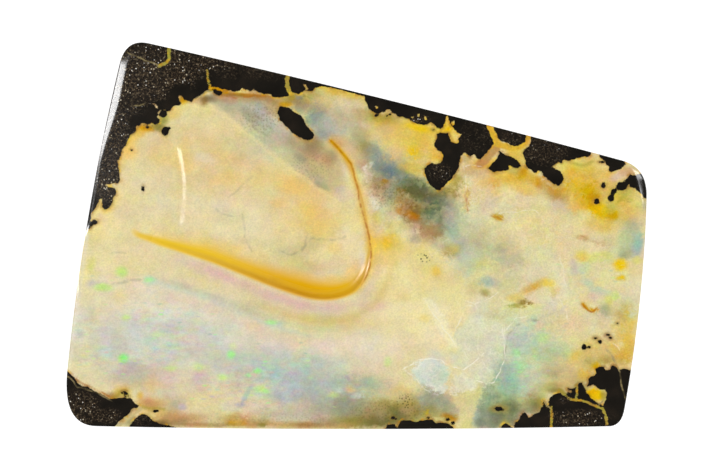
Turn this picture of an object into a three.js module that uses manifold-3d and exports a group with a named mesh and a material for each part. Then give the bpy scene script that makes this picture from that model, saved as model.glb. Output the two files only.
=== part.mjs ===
// A polished piece of boulder opal: one natural stone, ironstone with its opal seam, lying on its ground back.
// Millimetres, +Z up. The origin is on the back, below the middle of the stone's bounding box.
// Seen from above, the long ground edge is at -Y and the slanting edge is at +Y.
import * as THREE from "three";
import { mergeVertices } from "three/addons/utils/BufferGeometryUtils.js";
import Module from "manifold-3d";

// Heights
const THICKNESS = 6.5; // from the back to the top of the dome
const DOME_ALONG = 0.35; // how far the face falls from the middle to the two ends
const DOME_ACROSS = 0.3; // and from the middle to the two long edges
const DOME_HALF_LENGTH = 19;
const DOME_HALF_WIDTH = 12.6;

// The face bends down to the left of a soft ridge that runs across the stone's left third
const RIDGE_X = -11.3;
const RIDGE_SOFTNESS = 0.45;
const RIDGE_SLOPE = 0.085;
const RIDGE_LOW_Y = -1.6; // the bend fades out below here
const RIDGE_FADE = 2.4;

// The edge of the face, the walls and the edge of the back
const RIM_ROUND = 0.42;
const LEFT_RIM_ROUND = 0.8;
const LEFT_RIM_STARTS = 10; // distance left of the middle at which the rim starts to widen
const LEFT_RIM_FULL = 16;
const WALL_LEAN = 0.4; // how far the wall draws in from the rim down to the back
const BACK_ROUND = 0.55;

// The outline's four corners, counter-clockwise, with the lengths of edge that each one's rounding takes up
const CORNERS = [
  { x: -19.5, y: -12.45, before: 3.7, after: 2.5 }, // near left
  { x: 17.36, y: -12.46, before: 0.9, after: 1.1 }, // near right
  { x: 19.14, y: 4.44, before: 1.9, after: 1.9 }, // far right
  { x: -15.18, y: 12.94, before: 1.65, after: 1.75 }, // far left
];
const EDGE_BOWS = [0.18, 0.26, 0.16, 0.34]; // how far each edge, from its corner to the next, swells outwards

// The hollow where the seam folds under: a thumb-shaped dish, deepest along its near and right-hand lip.
// Each station of the lip is x, y and the depth below the face there; it rises out of the face at the far left.
const FOLD_LIP = [
  [-14.65, 0.42, 0.0],
  [-13.4, -0.2, 0.2],
  [-11.5, -0.83, 0.34],
  [-9.5, -1.51, 0.48],
  [-7.74, -2.23, 0.62],
  [-5.74, -3.1, 0.78],
  [-3.97, -3.8, 0.92],
  [-2.73, -4.1, 0.98],
  [-1.44, -4.1, 1.0],
  [-0.18, -3.64, 0.94],
  [0.62, -2.59, 0.82],
  [0.94, -1.15, 0.68],
  [0.78, 0.48, 0.52],
  [0.29, 2.78, 0.3],
  [-0.43, 4.55, 0.08],
  [-1.5, 6.05, -0.12],
  [-4.0, 7.5, -0.3],
  [-8.0, 7.4, -0.3],
  [-12.0, 5.4, -0.3],
  [-14.6, 2.6, -0.2],
];
const FOLD_CENTRE = [-4.9, 0.9];
const FOLD_HOLLOWING = 2.6; // how steeply the floor falls towards the lip
const FOLD_OPEN_ABOVE = 1; // the cutter stands this far above the stone

// Mesh steps
const FACE_STEPS = [40, 26]; // along and across the face
const FOLD_STEPS = [24, 24];
const RIM_ANGLES = [28, 56, 82]; // degrees round the edge of the face
const BACK_ANGLES = [10, 50]; // degrees round the edge of the back

const STONE_COLOUR = 0xc9b483;
const STONE_ROUGHNESS = 0.25;

const smooth = (low, high, value) => THREE.MathUtils.smoothstep(value, low, high);

// Height of the polished face, without the hollow.
function faceHeight(x, y) {
  const dome = DOME_ALONG * (x / DOME_HALF_LENGTH) ** 2 + DOME_ACROSS * (y / DOME_HALF_WIDTH) ** 2;
  const pastRidge = RIDGE_SOFTNESS * Math.log1p(Math.exp((RIDGE_X - x) / RIDGE_SOFTNESS));
  const bend = smooth(RIDGE_LOW_Y - RIDGE_FADE, RIDGE_LOW_Y + RIDGE_FADE, y);
  return THICKNESS - dome - RIDGE_SLOPE * pastRidge * bend;
}

// One swelling edge, from the end of its first corner's rounding to the start of the next one's.
function edgeCurve(index) {
  const from = CORNERS[index];
  const to = CORNERS[(index + 1) % CORNERS.length];
  const along = new THREE.Vector2(to.x - from.x, to.y - from.y).normalize();
  const start = new THREE.Vector2(from.x, from.y).addScaledVector(along, from.after);
  const end = new THREE.Vector2(to.x, to.y).addScaledVector(along, -to.before);
  const outwards = new THREE.Vector2(along.y, -along.x);
  const control = start.clone().lerp(end, 0.5).addScaledVector(outwards, 2 * EDGE_BOWS[index]);
  return new THREE.QuadraticBezierCurve(start, control, end);
}

// The rounding between two edges, tangent to both.
function cornerCurve(edgeBefore, edgeAfter) {
  const start = edgeBefore.v2;
  const end = edgeAfter.v0;
  const leaving = edgeBefore.getTangent(1);
  const arriving = edgeAfter.getTangent(0);
  const reach = end.clone().sub(start).cross(arriving) / leaving.cross(arriving);
  const control = start.clone().addScaledVector(leaving, reach);
  return new THREE.QuadraticBezierCurve(start, control, end);
}

// The outline as evenly stepped points: each side is a corner and the edge after it.
function stoneOutline([alongSteps, acrossSteps]) {
  const edges = CORNERS.map((_, index) => edgeCurve(index));
  return edges.flatMap((edge, index) => {
    const side = new THREE.CurvePath();
    side.add(cornerCurve(edges.at(index - 1), edge));
    side.add(edge);
    return side.getSpacedPoints(index % 2 ? acrossSteps : alongSteps).slice(0, -1);
  });
}

// Where a point of the unit square's grid lies: its ring, 0 in the middle and 1 at the edge, and its place along
// the outline's points, counter-clockwise from the near left corner.
function ringPlace(u, v, [alongSteps, acrossSteps]) {
  const ring = Math.max(Math.abs(u), Math.abs(v));
  if (ring === 0) return { ring, place: 0 };
  if (v === -ring) return { ring, place: ((u / ring + 1) / 2) * alongSteps };
  if (u === ring) return { ring, place: alongSteps + ((v / ring + 1) / 2) * acrossSteps };
  if (v === ring) return { ring, place: alongSteps + acrossSteps + ((1 - u / ring) / 2) * alongSteps };
  return { ring, place: 2 * alongSteps + acrossSteps + ((1 - v / ring) / 2) * acrossSteps };
}

// A point between two of a closed loop's points.
function onLoop(points, place) {
  const index = Math.floor(place);
  return points[index % points.length].clone().lerp(points[(index + 1) % points.length], place - index);
}

// A closed solid: a gridded cap inside a loop, rows of wall that carry the loop on, and a fan that closes it.
// capPoint(ring, place) gives the cap, wallPoint(row, place) each row, and the fan meets at closingPoint.
function closedSolid(steps, capPoint, wallRows, wallPoint, closingPoint, capFacesUp) {
  const [alongSteps, acrossSteps] = steps;
  const vertices = [];
  const faces = [];
  const addVertex = (point) => vertices.push(point.x, point.y, point.z) / 3 - 1;
  const addFace = (a, b, c) => (capFacesUp ? faces.push(a, b, c) : faces.push(a, c, b));
  const addQuad = (a, b, c, d) => {
    addFace(a, b, c);
    addFace(a, c, d);
  };

  const loop = [];
  const grid = [];
  for (let across = 0; across <= acrossSteps; across++) {
    grid.push([]);
    for (let along = 0; along <= alongSteps; along++) {
      const u = (2 * along) / alongSteps - 1;
      const v = (2 * across) / acrossSteps - 1;
      const { ring, place } = ringPlace(u, v, steps);
      grid[across].push(addVertex(capPoint(ring, place)));
      if (ring === 1) loop[Math.round(place)] = grid[across][along];
    }
  }
  for (let across = 0; across < acrossSteps; across++) {
    for (let along = 0; along < alongSteps; along++) {
      const [low, high] = [grid[across], grid[across + 1]];
      addQuad(low[along], low[along + 1], high[along + 1], high[along]);
    }
  }

  let previous = loop;
  for (let row = 0; row < wallRows; row++) {
    const next = loop.map((_, place) => addVertex(wallPoint(row, place)));
    loop.forEach((_, place) => {
      const after = (place + 1) % loop.length;
      addQuad(previous[place], next[place], next[after], previous[after]);
    });
    previous = next;
  }
  const closing = addVertex(closingPoint);
  loop.forEach((_, place) => addFace(previous[place], closing, previous[(place + 1) % loop.length]));

  const geometry = new THREE.BufferGeometry();
  geometry.setAttribute("position", new THREE.Float32BufferAttribute(vertices, 3));
  geometry.setIndex(faces);
  return geometry;
}

// How wide the rounding of the face's edge is at a point of the outline.
function rimRound(point) {
  const share = smooth(LEFT_RIM_STARTS, LEFT_RIM_FULL, -point.x);
  return THREE.MathUtils.lerp(RIM_ROUND, LEFT_RIM_ROUND, share);
}

// The stone without its hollow: the face, the rounded rim, the leaning wall, the rounded edge of the back and the back.
function stoneGeometry() {
  const outline = stoneOutline(FACE_STEPS);
  const inset = (point, by) => point.clone().multiplyScalar(1 - by / point.length());
  const faceEdge = (point) => {
    const { x, y } = inset(point, rimRound(point));
    return faceHeight(x, y);
  };
  const capPoint = (ring, place) => {
    const edge = onLoop(outline, place);
    const { x, y } = inset(edge, rimRound(edge)).multiplyScalar(ring);
    return new THREE.Vector3(x, y, faceHeight(x, y));
  };
  const rows = [
    ...RIM_ANGLES.map((angle) => (point) => {
      const turn = THREE.MathUtils.degToRad(angle);
      const round = rimRound(point);
      return { by: round * (1 - Math.sin(turn)), z: faceEdge(point) - round * (1 - Math.cos(turn)) };
    }),
    ...BACK_ANGLES.map((angle) => () => {
      const turn = THREE.MathUtils.degToRad(angle);
      return { by: WALL_LEAN + BACK_ROUND * (1 - Math.cos(turn)), z: BACK_ROUND * (1 - Math.sin(turn)) };
    }),
    () => ({ by: WALL_LEAN + BACK_ROUND, z: 0 }),
  ];
  const wallPoint = (row, place) => {
    const { by, z } = rows[row](outline[place]);
    const { x, y } = inset(outline[place], by);
    return new THREE.Vector3(x, y, z);
  };
  return closedSolid(FACE_STEPS, capPoint, rows.length, wallPoint, new THREE.Vector3(), true);
}

// The solid that the hollow takes out: its floor follows the face at the depth of the lip's stations.
function foldCutterGeometry() {
  const stations = FOLD_LIP.map(([x, y, depth]) => new THREE.Vector3(x, y, depth));
  const lip = new THREE.CatmullRomCurve3(stations, true).getSpacedPoints(2 * (FOLD_STEPS[0] + FOLD_STEPS[1]));
  lip.pop();
  const centre = new THREE.Vector3(...FOLD_CENTRE, 0);
  const top = THICKNESS + FOLD_OPEN_ABOVE;
  const capPoint = (ring, place) => {
    const edge = onLoop(lip, place);
    const point = centre.clone().lerp(edge, ring);
    return point.setZ(faceHeight(point.x, point.y) - edge.z * ring ** FOLD_HOLLOWING);
  };
  const wallPoint = (row, place) => lip[place].clone().setZ(top);
  return closedSolid(FOLD_STEPS, capPoint, 1, wallPoint, centre.clone().setZ(top), false);
}

const wasm = await Module();
wasm.setup();

function toSolid(geometry) {
  const merged = mergeVertices(geometry);
  return new wasm.Manifold(
    new wasm.Mesh({
      numProp: 3,
      vertProperties: merged.attributes.position.array,
      triVerts: new Uint32Array(merged.index.array),
    }),
  );
}

function toGeometry(solid) {
  const { vertProperties, triVerts } = solid.getMesh();
  const geometry = new THREE.BufferGeometry();
  geometry.setAttribute("position", new THREE.BufferAttribute(vertProperties, 3));
  geometry.setIndex(new THREE.BufferAttribute(triVerts, 1));
  geometry.computeVertexNormals();
  return geometry;
}

// Moves the geometry so that the middle of its bounding box is over the origin.
function centred(geometry) {
  geometry.computeBoundingBox();
  const middle = geometry.boundingBox.getCenter(new THREE.Vector3());
  return geometry.translate(-middle.x, -middle.y, 0);
}

const stone = new THREE.Mesh(
  centred(toGeometry(toSolid(stoneGeometry()).subtract(toSolid(foldCutterGeometry())))),
  new THREE.MeshStandardMaterial({ color: STONE_COLOUR, roughness: STONE_ROUGHNESS, metalness: 0 }),
);
stone.name = "opal_stone";

const boulderOpal = new THREE.Group();
boulderOpal.add(stone);

export default boulderOpal;
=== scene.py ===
import math
import bpy
import numpy as np
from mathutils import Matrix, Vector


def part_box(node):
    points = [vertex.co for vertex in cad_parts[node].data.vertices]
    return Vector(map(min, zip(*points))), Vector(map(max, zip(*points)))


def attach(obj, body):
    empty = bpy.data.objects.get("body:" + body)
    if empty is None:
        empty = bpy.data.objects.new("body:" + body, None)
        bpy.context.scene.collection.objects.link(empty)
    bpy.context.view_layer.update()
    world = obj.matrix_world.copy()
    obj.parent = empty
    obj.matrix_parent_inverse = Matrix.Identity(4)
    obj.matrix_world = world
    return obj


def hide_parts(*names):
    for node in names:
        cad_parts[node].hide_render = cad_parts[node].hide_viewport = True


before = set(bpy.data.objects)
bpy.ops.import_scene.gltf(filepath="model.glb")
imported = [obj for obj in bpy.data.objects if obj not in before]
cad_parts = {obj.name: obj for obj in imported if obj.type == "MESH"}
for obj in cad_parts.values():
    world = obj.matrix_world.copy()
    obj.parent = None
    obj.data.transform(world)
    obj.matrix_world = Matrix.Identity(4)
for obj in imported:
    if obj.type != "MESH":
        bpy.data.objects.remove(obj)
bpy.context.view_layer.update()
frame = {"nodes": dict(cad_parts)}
print("frame loaded with", ", ".join(frame["nodes"]))

mm = 0.001  # sizes are in millimetres here, and the finished meshes are in metres

# the markings are traced as pixels of the photograph, counted right and down from its top left corner
photo = {
    "width": 708,
    "height": 472,
    "pixelSize": 0.0652,  # millimetres
    "origin": (356.6, 235.4),  # the pixel over the middle of the stone's outline
}


# 0 below low, 1 above high, and an S-shaped cubic between them
def smoothStep(low, high, value):
    share = np.clip((value - low) / (high - low), 0, 1)
    return share * share * (3 - 2 * share)


# pixels of the photograph: the distance from the origin in pixels, with y counted downwards
def toPhoto(points):
    scale = photo["pixelSize"]
    originX, originY = photo["origin"]
    return np.stack([originX + points[:, 0] / scale, originY - points[:, 1] / scale], axis=1)


# the other way round: millimetres from the middle of the outline
def fromPhoto(places):
    scale = photo["pixelSize"]
    originX, originY = photo["origin"]
    places = np.array(places, dtype=float)
    return np.stack([(places[:, 0] - originX) * scale, (originY - places[:, 1]) * scale], axis=1)


# random values at the corners of square cells, blended inside each cell by the S-shaped cubic, from -1 to 1
def latticeNoise(places, cell, seed):
    side = 97  # the pattern repeats after this many cells
    table = np.random.default_rng(seed).uniform(-1, 1, (side, side))
    spot = places / cell
    corner = np.floor(spot).astype(int)
    share = spot - corner
    share = share * share * (3 - 2 * share)
    x0, y0 = (corner % side).T
    x1, y1 = ((corner + 1) % side).T
    low = table[x0, y0] + (table[x1, y0] - table[x0, y0]) * share[:, 0]
    high = table[x0, y1] + (table[x1, y1] - table[x0, y1]) * share[:, 0]
    return low + (high - low) * share[:, 1]


# layers of lattice noise, each with half the cell and about half the height of the one before
def layeredNoise(places, cell, seed, layers=3, fall=0.55):
    heights = [fall**layer for layer in range(layers)]
    total = sum(
        height * latticeNoise(places, cell / 2**layer, seed + layer)
        for layer, height in enumerate(heights)
    )
    return total / sum(heights)


# nearest point of a path of straight pieces: the foot of the perpendicular, kept within each piece's ends
def nearestOnPath(places, path):
    best = np.full(len(places), np.inf)
    nearest = np.zeros_like(places)
    for start, end in zip(path[:-1], path[1:]):
        piece = end - start
        share = np.clip((places - start) @ piece / (piece @ piece), 0, 1)
        foot = start + share[:, None] * piece
        gap = np.hypot(*(places - foot).T)
        closer = gap < best
        best[closer] = gap[closer]
        nearest[closer] = foot[closer]
    return best, nearest


# depth inside a closed outline: the distance to its nearest side, negative where a line crosses it evenly
def depthInside(places, outline):
    loop = np.array([*outline, outline[0]], dtype=float)
    gap, _ = nearestOnPath(places, loop)
    inside = np.zeros(len(places), dtype=bool)
    for (x0, y0), (x1, y1) in zip(loop[:-1], loop[1:]):
        if y0 == y1:
            continue
        level = (y0 > places[:, 1]) != (y1 > places[:, 1])
        crossing = x0 + (places[:, 1] - y0) * (x1 - x0) / (y1 - y0)
        inside ^= level & (places[:, 0] < crossing)
    return np.where(inside, gap, -gap)


# a smooth closed curve through stations: cubic pieces whose slope at a station joins its two neighbours
def closedCurve(stations, steps):
    before, here, after, beyond = (np.roll(stations, turn, axis=0)[:, None, :] for turn in (1, 0, -1, -2))
    t = np.linspace(0, 1, steps, endpoint=False)[None, :, None]
    curve = (
        2 * here
        + (after - before) * t
        + (2 * before - 5 * here + 4 * after - beyond) * t**2
        + (3 * here - before - 3 * after + beyond) * t**3
    )
    return (curve / 2).reshape(-1, stations.shape[1])


# the stone's shape
stone = {
    "thickness": 6.5,  # from the back to the top of the dome
    "domeFalls": (0.35, 0.3),  # how far the face falls along and across the stone
    "domeHalves": (19.0, 12.6),
    "ridgeX": -11.3,  # the face bends down to the left of this soft ridge
    "ridgeBow": 0.3,
    "ridgeMiddleY": 2.2,
    "ridgeSpan": 4,  # distance from its middle at which the ridge has bowed by ridgeBow
    "ridgeSoftness": 0.45,
    "ridgeSlope": 0.085,
    "ridgeLowY": -1.6,
    "ridgeFade": 2.4,
    "rimRound": 0.15,
    "leftRimRound": 0.66,
    "leftRimFrom": (12, 16.5),
    "leftRimRise": (4.5, 9.5),  # the left rim grows to its full width between these y
    "leftRimLow": 0.06,
    "cornerRimRound": 1.1,
    "softCorner": (18.9, 3.4),  # the rim is rounder at this corner
    "softCornerReach": 1.6,
    "rimDrop": 0.32,  # depth of the rim's rounding as a share of its width
    "wallLean": 0.4,
    "backRound": 0.55,
    "wallWaver": 0.035,
    "wallWaverCell": 2.4,
    # a low crest along the ridge, in pixels of the photograph
    "crestPath": [(178, 126), (183, 145), (187, 165), (189, 182), (189, 200), (187, 218), (182, 240)],
    "crestHeight": 0.046,
    "crestSpread": 0.26,
    "crestFade": 1.6,  # length over which it dies out at each end
    # x, y and the lengths of edge that the corner's rounding takes up before and after it
    "corners": (
        (-19.5, -12.45, 3.7, 2.5), (17.36, -12.46, 0.9, 1.1), (19.14, 4.44, 1.9, 1.9),
        (-15.18, 12.94, 1.65, 1.75),
    ),
    "edgeBows": (0.18, 0.26, 0.16, 0.34),
    "cornerSteps": 200,
    "edgeSteps": 400,
    "faceSteps": (332, 220),
    "crowding": 0.3,  # how much closer the face's rings stand at its edge than on average
    "rimAngles": (12, 24, 36, 48, 60, 72, 82),
    "wallSteps": 4,
    "backAngles": (10, 36, 63),
    "backSpacing": 4,  # the back has one point for four of the face, as its stitching expects
    "backShelf": 0.6,
}

# the hollow where the seam folds under: the lip's stations with the depth below the face there
fold = {
    "lip": np.array([
        (-14.65, 0.38, 0.0), (-13.4, -0.36, 0.2), (-11.5, -1.0, 0.34), (-9.5, -1.66, 0.48),
        (-7.74, -2.36, 0.62), (-5.74, -3.17, 0.78), (-3.97, -3.8, 0.92), (-2.73, -4.1, 0.98),
        (-1.44, -4.1, 1.0), (-0.18, -3.64, 0.94), (0.62, -2.59, 0.82), (0.94, -1.15, 0.68),
        (0.78, 0.48, 0.52), (0.29, 2.78, 0.3), (-0.43, 4.55, 0.08), (-1.5, 6.05, -0.12), (-4.0, 7.5, -0.3),
        (-8.0, 7.4, -0.3), (-12.0, 5.4, -0.3), (-14.6, 2.6, -0.2),
    ]),
    "lipSteps": 16,  # points from one station to the next
    "centre": (-4.9, 0.9),
    "hollowing": 2.6,
    "depthShare": 0.5,
    "wallWidth": 0.45,
    "drawIn": 0.6,  # the face's points are drawn towards the lip, so that its edge is crisp
    "drawReach": 0.55,
    # the ochre glow inside the lip: degrees round from the centre, width in pixels, strength and darkness
    "glow": [
        (-60, 3, 0, 0), (-45, 4, 0.35, 0.3), (-25, 4, 0.4, 0.5), (0, 3, 0.3, 0.4), (17, 3.5, 0.4, 0.4),
        (30, 11, 0.75, 0.5), (45, 22, 1, 0.45), (60, 28, 1, 0.55), (76, 30, 1, 0.75), (118, 22, 0.96, 0.5),
        (156, 18, 0.95, 0.28), (169, 11, 0.95, 0.12), (174, 6, 0.85, 0.1), (178, 5, 0, 0),
    ],
}


# height of the face: the dome's two parabolas, less a slope that sets in softly left of the ridge
def faceHeight(points):
    x, y = points[:, 0], points[:, 1]
    dome = stone["domeFalls"][0] * (x / stone["domeHalves"][0]) ** 2
    dome += stone["domeFalls"][1] * (y / stone["domeHalves"][1]) ** 2
    bow = stone["ridgeBow"] * np.clip((y - stone["ridgeMiddleY"]) / stone["ridgeSpan"], -1.5, 1.5) ** 2
    past = stone["ridgeSoftness"] * np.logaddexp(0, (stone["ridgeX"] - bow - x) / stone["ridgeSoftness"])
    bend = smoothStep(stone["ridgeLowY"] - stone["ridgeFade"], stone["ridgeLowY"] + stone["ridgeFade"], y)
    return stone["thickness"] - dome - stone["ridgeSlope"] * past * bend


# a low polished crest along the ridge: a bell-shaped section that dies out towards both ends
def crestHeight(points):
    path = fromPhoto(stone["crestPath"])
    gap, nearest = nearestOnPath(points, path)
    fromEnds = np.minimum(nearest[:, 1] - path[-1, 1], path[0, 1] - nearest[:, 1])
    section = np.exp(-0.5 * (gap / stone["crestSpread"]) ** 2)
    return stone["crestHeight"] * section * smoothStep(0, stone["crestFade"], fromEnds)


# a curve pulled from its start to its end by one control point
def pulledCurve(start, control, end, steps):
    t = np.linspace(0, 1, steps)[:, None]
    return (1 - t) ** 2 * start + 2 * t * (1 - t) * control + t**2 * end


# points at equal lengths along a path, without its last point
def evenlyAlong(path, count):
    lengths = np.concatenate([[0], np.cumsum(np.hypot(*np.diff(path, axis=0).T))])
    wanted = np.linspace(0, lengths[-1], count, endpoint=False)
    return np.stack([np.interp(wanted, lengths, path[:, axis]) for axis in (0, 1)], axis=1)


# the outline: four edges that swell by their bows, and between them corners tangent to both edges
def stoneOutline(steps):
    corners = np.array(stone["corners"])
    spots, before, after = corners[:, :2], corners[:, 2:3], corners[:, 3:4]
    following = np.roll(spots, -1, axis=0)
    along = (following - spots) / np.linalg.norm(following - spots, axis=1, keepdims=True)
    starts = spots + along * after
    ends = following - along * np.roll(before, -1, axis=0)
    outwards = np.stack([along[:, 1], -along[:, 0]], axis=1)
    controls = (starts + ends) / 2 + outwards * 2 * np.array(stone["edgeBows"])[:, None]
    sides = []
    for index in range(4):
        leaving = ends[index - 1] - controls[index - 1]
        arriving = controls[index] - starts[index]
        across = starts[index] - ends[index - 1]
        cross = leaving[0] * arriving[1] - leaving[1] * arriving[0]
        reach = (across[0] * arriving[1] - across[1] * arriving[0]) / cross
        control = ends[index - 1] + leaving * reach
        corner = pulledCurve(ends[index - 1], control, starts[index], stone["cornerSteps"])
        edge = pulledCurve(starts[index], controls[index], ends[index], stone["edgeSteps"])
        sides.append(evenlyAlong(np.vstack([corner, edge[1:]]), steps[index % 2]))
    return np.vstack(sides)


# a loop drawn in towards the middle by a length
def drawnIn(points, by):
    return points * (1 - by / np.hypot(*points.T))[:, None]


# width of the rim's rounding, which grows towards the left end and, bell-shaped, towards the soft corner
def rimRound(points):
    rise = stone["leftRimLow"] + (1 - stone["leftRimLow"]) * smoothStep(*stone["leftRimRise"], points[:, 1])
    left = smoothStep(*stone["leftRimFrom"], -points[:, 0]) * rise
    away = np.hypot(*(points - np.array(stone["softCorner"])).T)
    corner = np.exp(-((away / stone["softCornerReach"]) ** 2))
    width = stone["rimRound"] + (stone["leftRimRound"] - stone["rimRound"]) * left
    return width + (stone["cornerRimRound"] - stone["rimRound"]) * corner


# square rings that fill a loop: each grid point is its ring's share of the loop's point at its place
def ringGrid(loop, steps, crowding):
    u, v = np.meshgrid(np.linspace(-1, 1, steps[0] + 1), np.linspace(-1, 1, steps[1] + 1))
    ring = np.maximum(np.abs(u), np.abs(v))
    safe = np.where(ring == 0, 1, ring)
    place = np.select(
        [v <= -ring, u >= ring, v >= ring],
        [
            (u / safe + 1) / 2 * steps[0],
            steps[0] + (v / safe + 1) / 2 * steps[1],
            steps[0] + steps[1] + (1 - u / safe) / 2 * steps[0],
        ],
        2 * steps[0] + steps[1] + (1 - v / safe) / 2 * steps[1],
    )
    closed = np.vstack([loop, loop[:1]])
    crowded = ring * (1 + crowding * (1 - ring))
    return np.stack(
        [crowded * np.interp(place, np.arange(len(closed)), closed[:, axis]) for axis in (0, 1)], axis=-1
    ).reshape(-1, 2)


# quads of a grid and the loop of its border, both as numbers of its points
def gridFaces(steps, first):
    numbers = first + np.arange((steps[0] + 1) * (steps[1] + 1)).reshape(steps[1] + 1, steps[0] + 1)
    quads = np.stack([numbers[:-1, :-1], numbers[:-1, 1:], numbers[1:, 1:], numbers[1:, :-1]], axis=-1)
    border = np.concatenate([numbers[0, :-1], numbers[:-1, -1], numbers[-1, :0:-1], numbers[:0:-1, 0]])
    return quads.reshape(-1, 4), border


# depth of the hollow: the lip's depth in that direction times a power of the share of the way out to the lip
def foldDepth(points):
    lip = closedCurve(fold["lip"], fold["lipSteps"])
    centre = np.array(fold["centre"])
    lipTurn = np.arctan2(*(lip[:, :2] - centre).T[::-1])
    lipReach = np.hypot(*(lip[:, :2] - centre).T)
    turn = np.arctan2(*(points - centre).T[::-1])
    order = np.argsort(lipTurn)
    reach = np.interp(turn, lipTurn[order], lipReach[order], period=2 * np.pi)
    lipDepth = np.interp(turn, lipTurn[order], lip[order, 2], period=2 * np.pi)
    share = np.hypot(*(points - centre).T) / reach
    gap, nearest = nearestOnPath(points, np.vstack([lip, lip[:1]])[:, :2])
    inside = np.where(share < 1, gap, -gap)
    wall = smoothStep(0, fold["wallWidth"], inside)
    depth = fold["depthShare"] * np.maximum(lipDepth, 0) * np.minimum(share, 1) ** fold["hollowing"] * wall
    return depth, inside, nearest


# the face's points drawn towards the lip: the gap shrinks most at the lip and not at all far from it
def drawnToLip(points):
    lip = closedCurve(fold["lip"], fold["lipSteps"])[:, :2]
    gap, nearest = nearestOnPath(points, np.vstack([lip, lip[:1]]))
    pull = fold["drawIn"] * np.exp(-((gap / fold["drawReach"]) ** 2))
    return points - (points - nearest) * pull[:, None]


# the whole stone: the gridded face, rows round the rim, down the wall and round the back's edge, and the back
def stoneSurface():
    steps = stone["faceSteps"]
    outline = stoneOutline(steps)
    count = len(outline)
    waver = stone["wallWaver"] * layeredNoise(outline, stone["wallWaverCell"], 11)
    rim = rimRound(outline)
    face = drawnToLip(ringGrid(drawnIn(outline, rim), steps, stone["crowding"]))
    depth, inside, nearest = foldDepth(face)
    faceTop = np.column_stack([face, faceHeight(face) + crestHeight(face) - depth])

    rows = []
    for angle in np.radians(stone["rimAngles"]):
        by = rim * (1 - np.sin(angle))
        rows.append((by, faceHeight(drawnIn(outline, by)) - stone["rimDrop"] * rim * (1 - np.cos(angle))))
    wallTop = rows[-1][1]
    backTurns = np.radians(stone["backAngles"])
    wallFoot = stone["backRound"] * (1 - np.sin(backTurns[0]))
    for share in np.linspace(0, 1, stone["wallSteps"] + 2)[1:-1]:
        rows.append((stone["wallLean"] * share + waver, wallTop + (wallFoot - wallTop) * share))
    for turn in backTurns:
        by = stone["wallLean"] + stone["backRound"] * (1 - np.cos(turn))
        rows.append((by + waver, np.full(count, stone["backRound"] * (1 - np.sin(turn)))))
    rows.append((stone["wallLean"] + stone["backRound"] + waver, np.zeros(count)))
    wall = [np.column_stack([drawnIn(outline, by), z]) for by, z in rows]

    backSteps = tuple(step // stone["backSpacing"] for step in steps)
    shelf = stone["wallLean"] + stone["backRound"] + stone["backShelf"]
    backLoop = drawnIn(outline, np.full(count, shelf))[:: stone["backSpacing"]]
    back = np.column_stack([ringGrid(backLoop, backSteps, 0), np.zeros(np.prod(np.add(backSteps, 1)))])

    faceQuads, border = gridFaces(steps, 0)
    loops = [border] + [len(faceTop) + row * count + np.arange(count) for row in range(len(wall))]
    wallQuads = [
        np.stack([upper, lower, np.roll(lower, -1), np.roll(upper, -1)], axis=1)
        for upper, lower in zip(loops[:-1], loops[1:])
    ]
    backQuads, backBorder = gridFaces(backSteps, len(faceTop) + len(wall) * count)
    here, there = backBorder, np.roll(backBorder, -1)
    # four points of the wall's last loop and one of the back's border make five triangles
    last = loops[-1].reshape(-1, 4)
    ahead = np.roll(loops[-1], -4).reshape(-1, 4)[:, 0]
    stitch = np.concatenate([
        np.stack([last[:, 0], here, last[:, 1]], axis=1),
        np.stack([last[:, 1], here, last[:, 2]], axis=1),
        np.stack([last[:, 2], here, there], axis=1),
        np.stack([last[:, 2], there, last[:, 3]], axis=1),
        np.stack([last[:, 3], there, ahead], axis=1),
    ])
    points = np.vstack([faceTop, *wall, back])
    return {
        "points": points,
        "faceCount": len(faceTop),
        "ringCount": count,
        "rowCount": len(wall),
        "inside": inside,
        "nearestLip": nearest,
        "quads": [faceQuads, *wallQuads, backQuads[:, ::-1]],
        "stitch": stitch,
    }


surface = stoneSurface()
nodeLow, nodeHigh = (np.array(corner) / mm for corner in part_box("opal_stone"))
ownMiddle = (surface["points"].min(axis=0) + surface["points"].max(axis=0)) / 2
shift = ((nodeLow + nodeHigh) / 2 - ownMiddle) * (1, 1, 0)  # puts the outline over the solid
print("stone surface with", len(surface["points"]), "points, shifted", shift.round(3))


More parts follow.
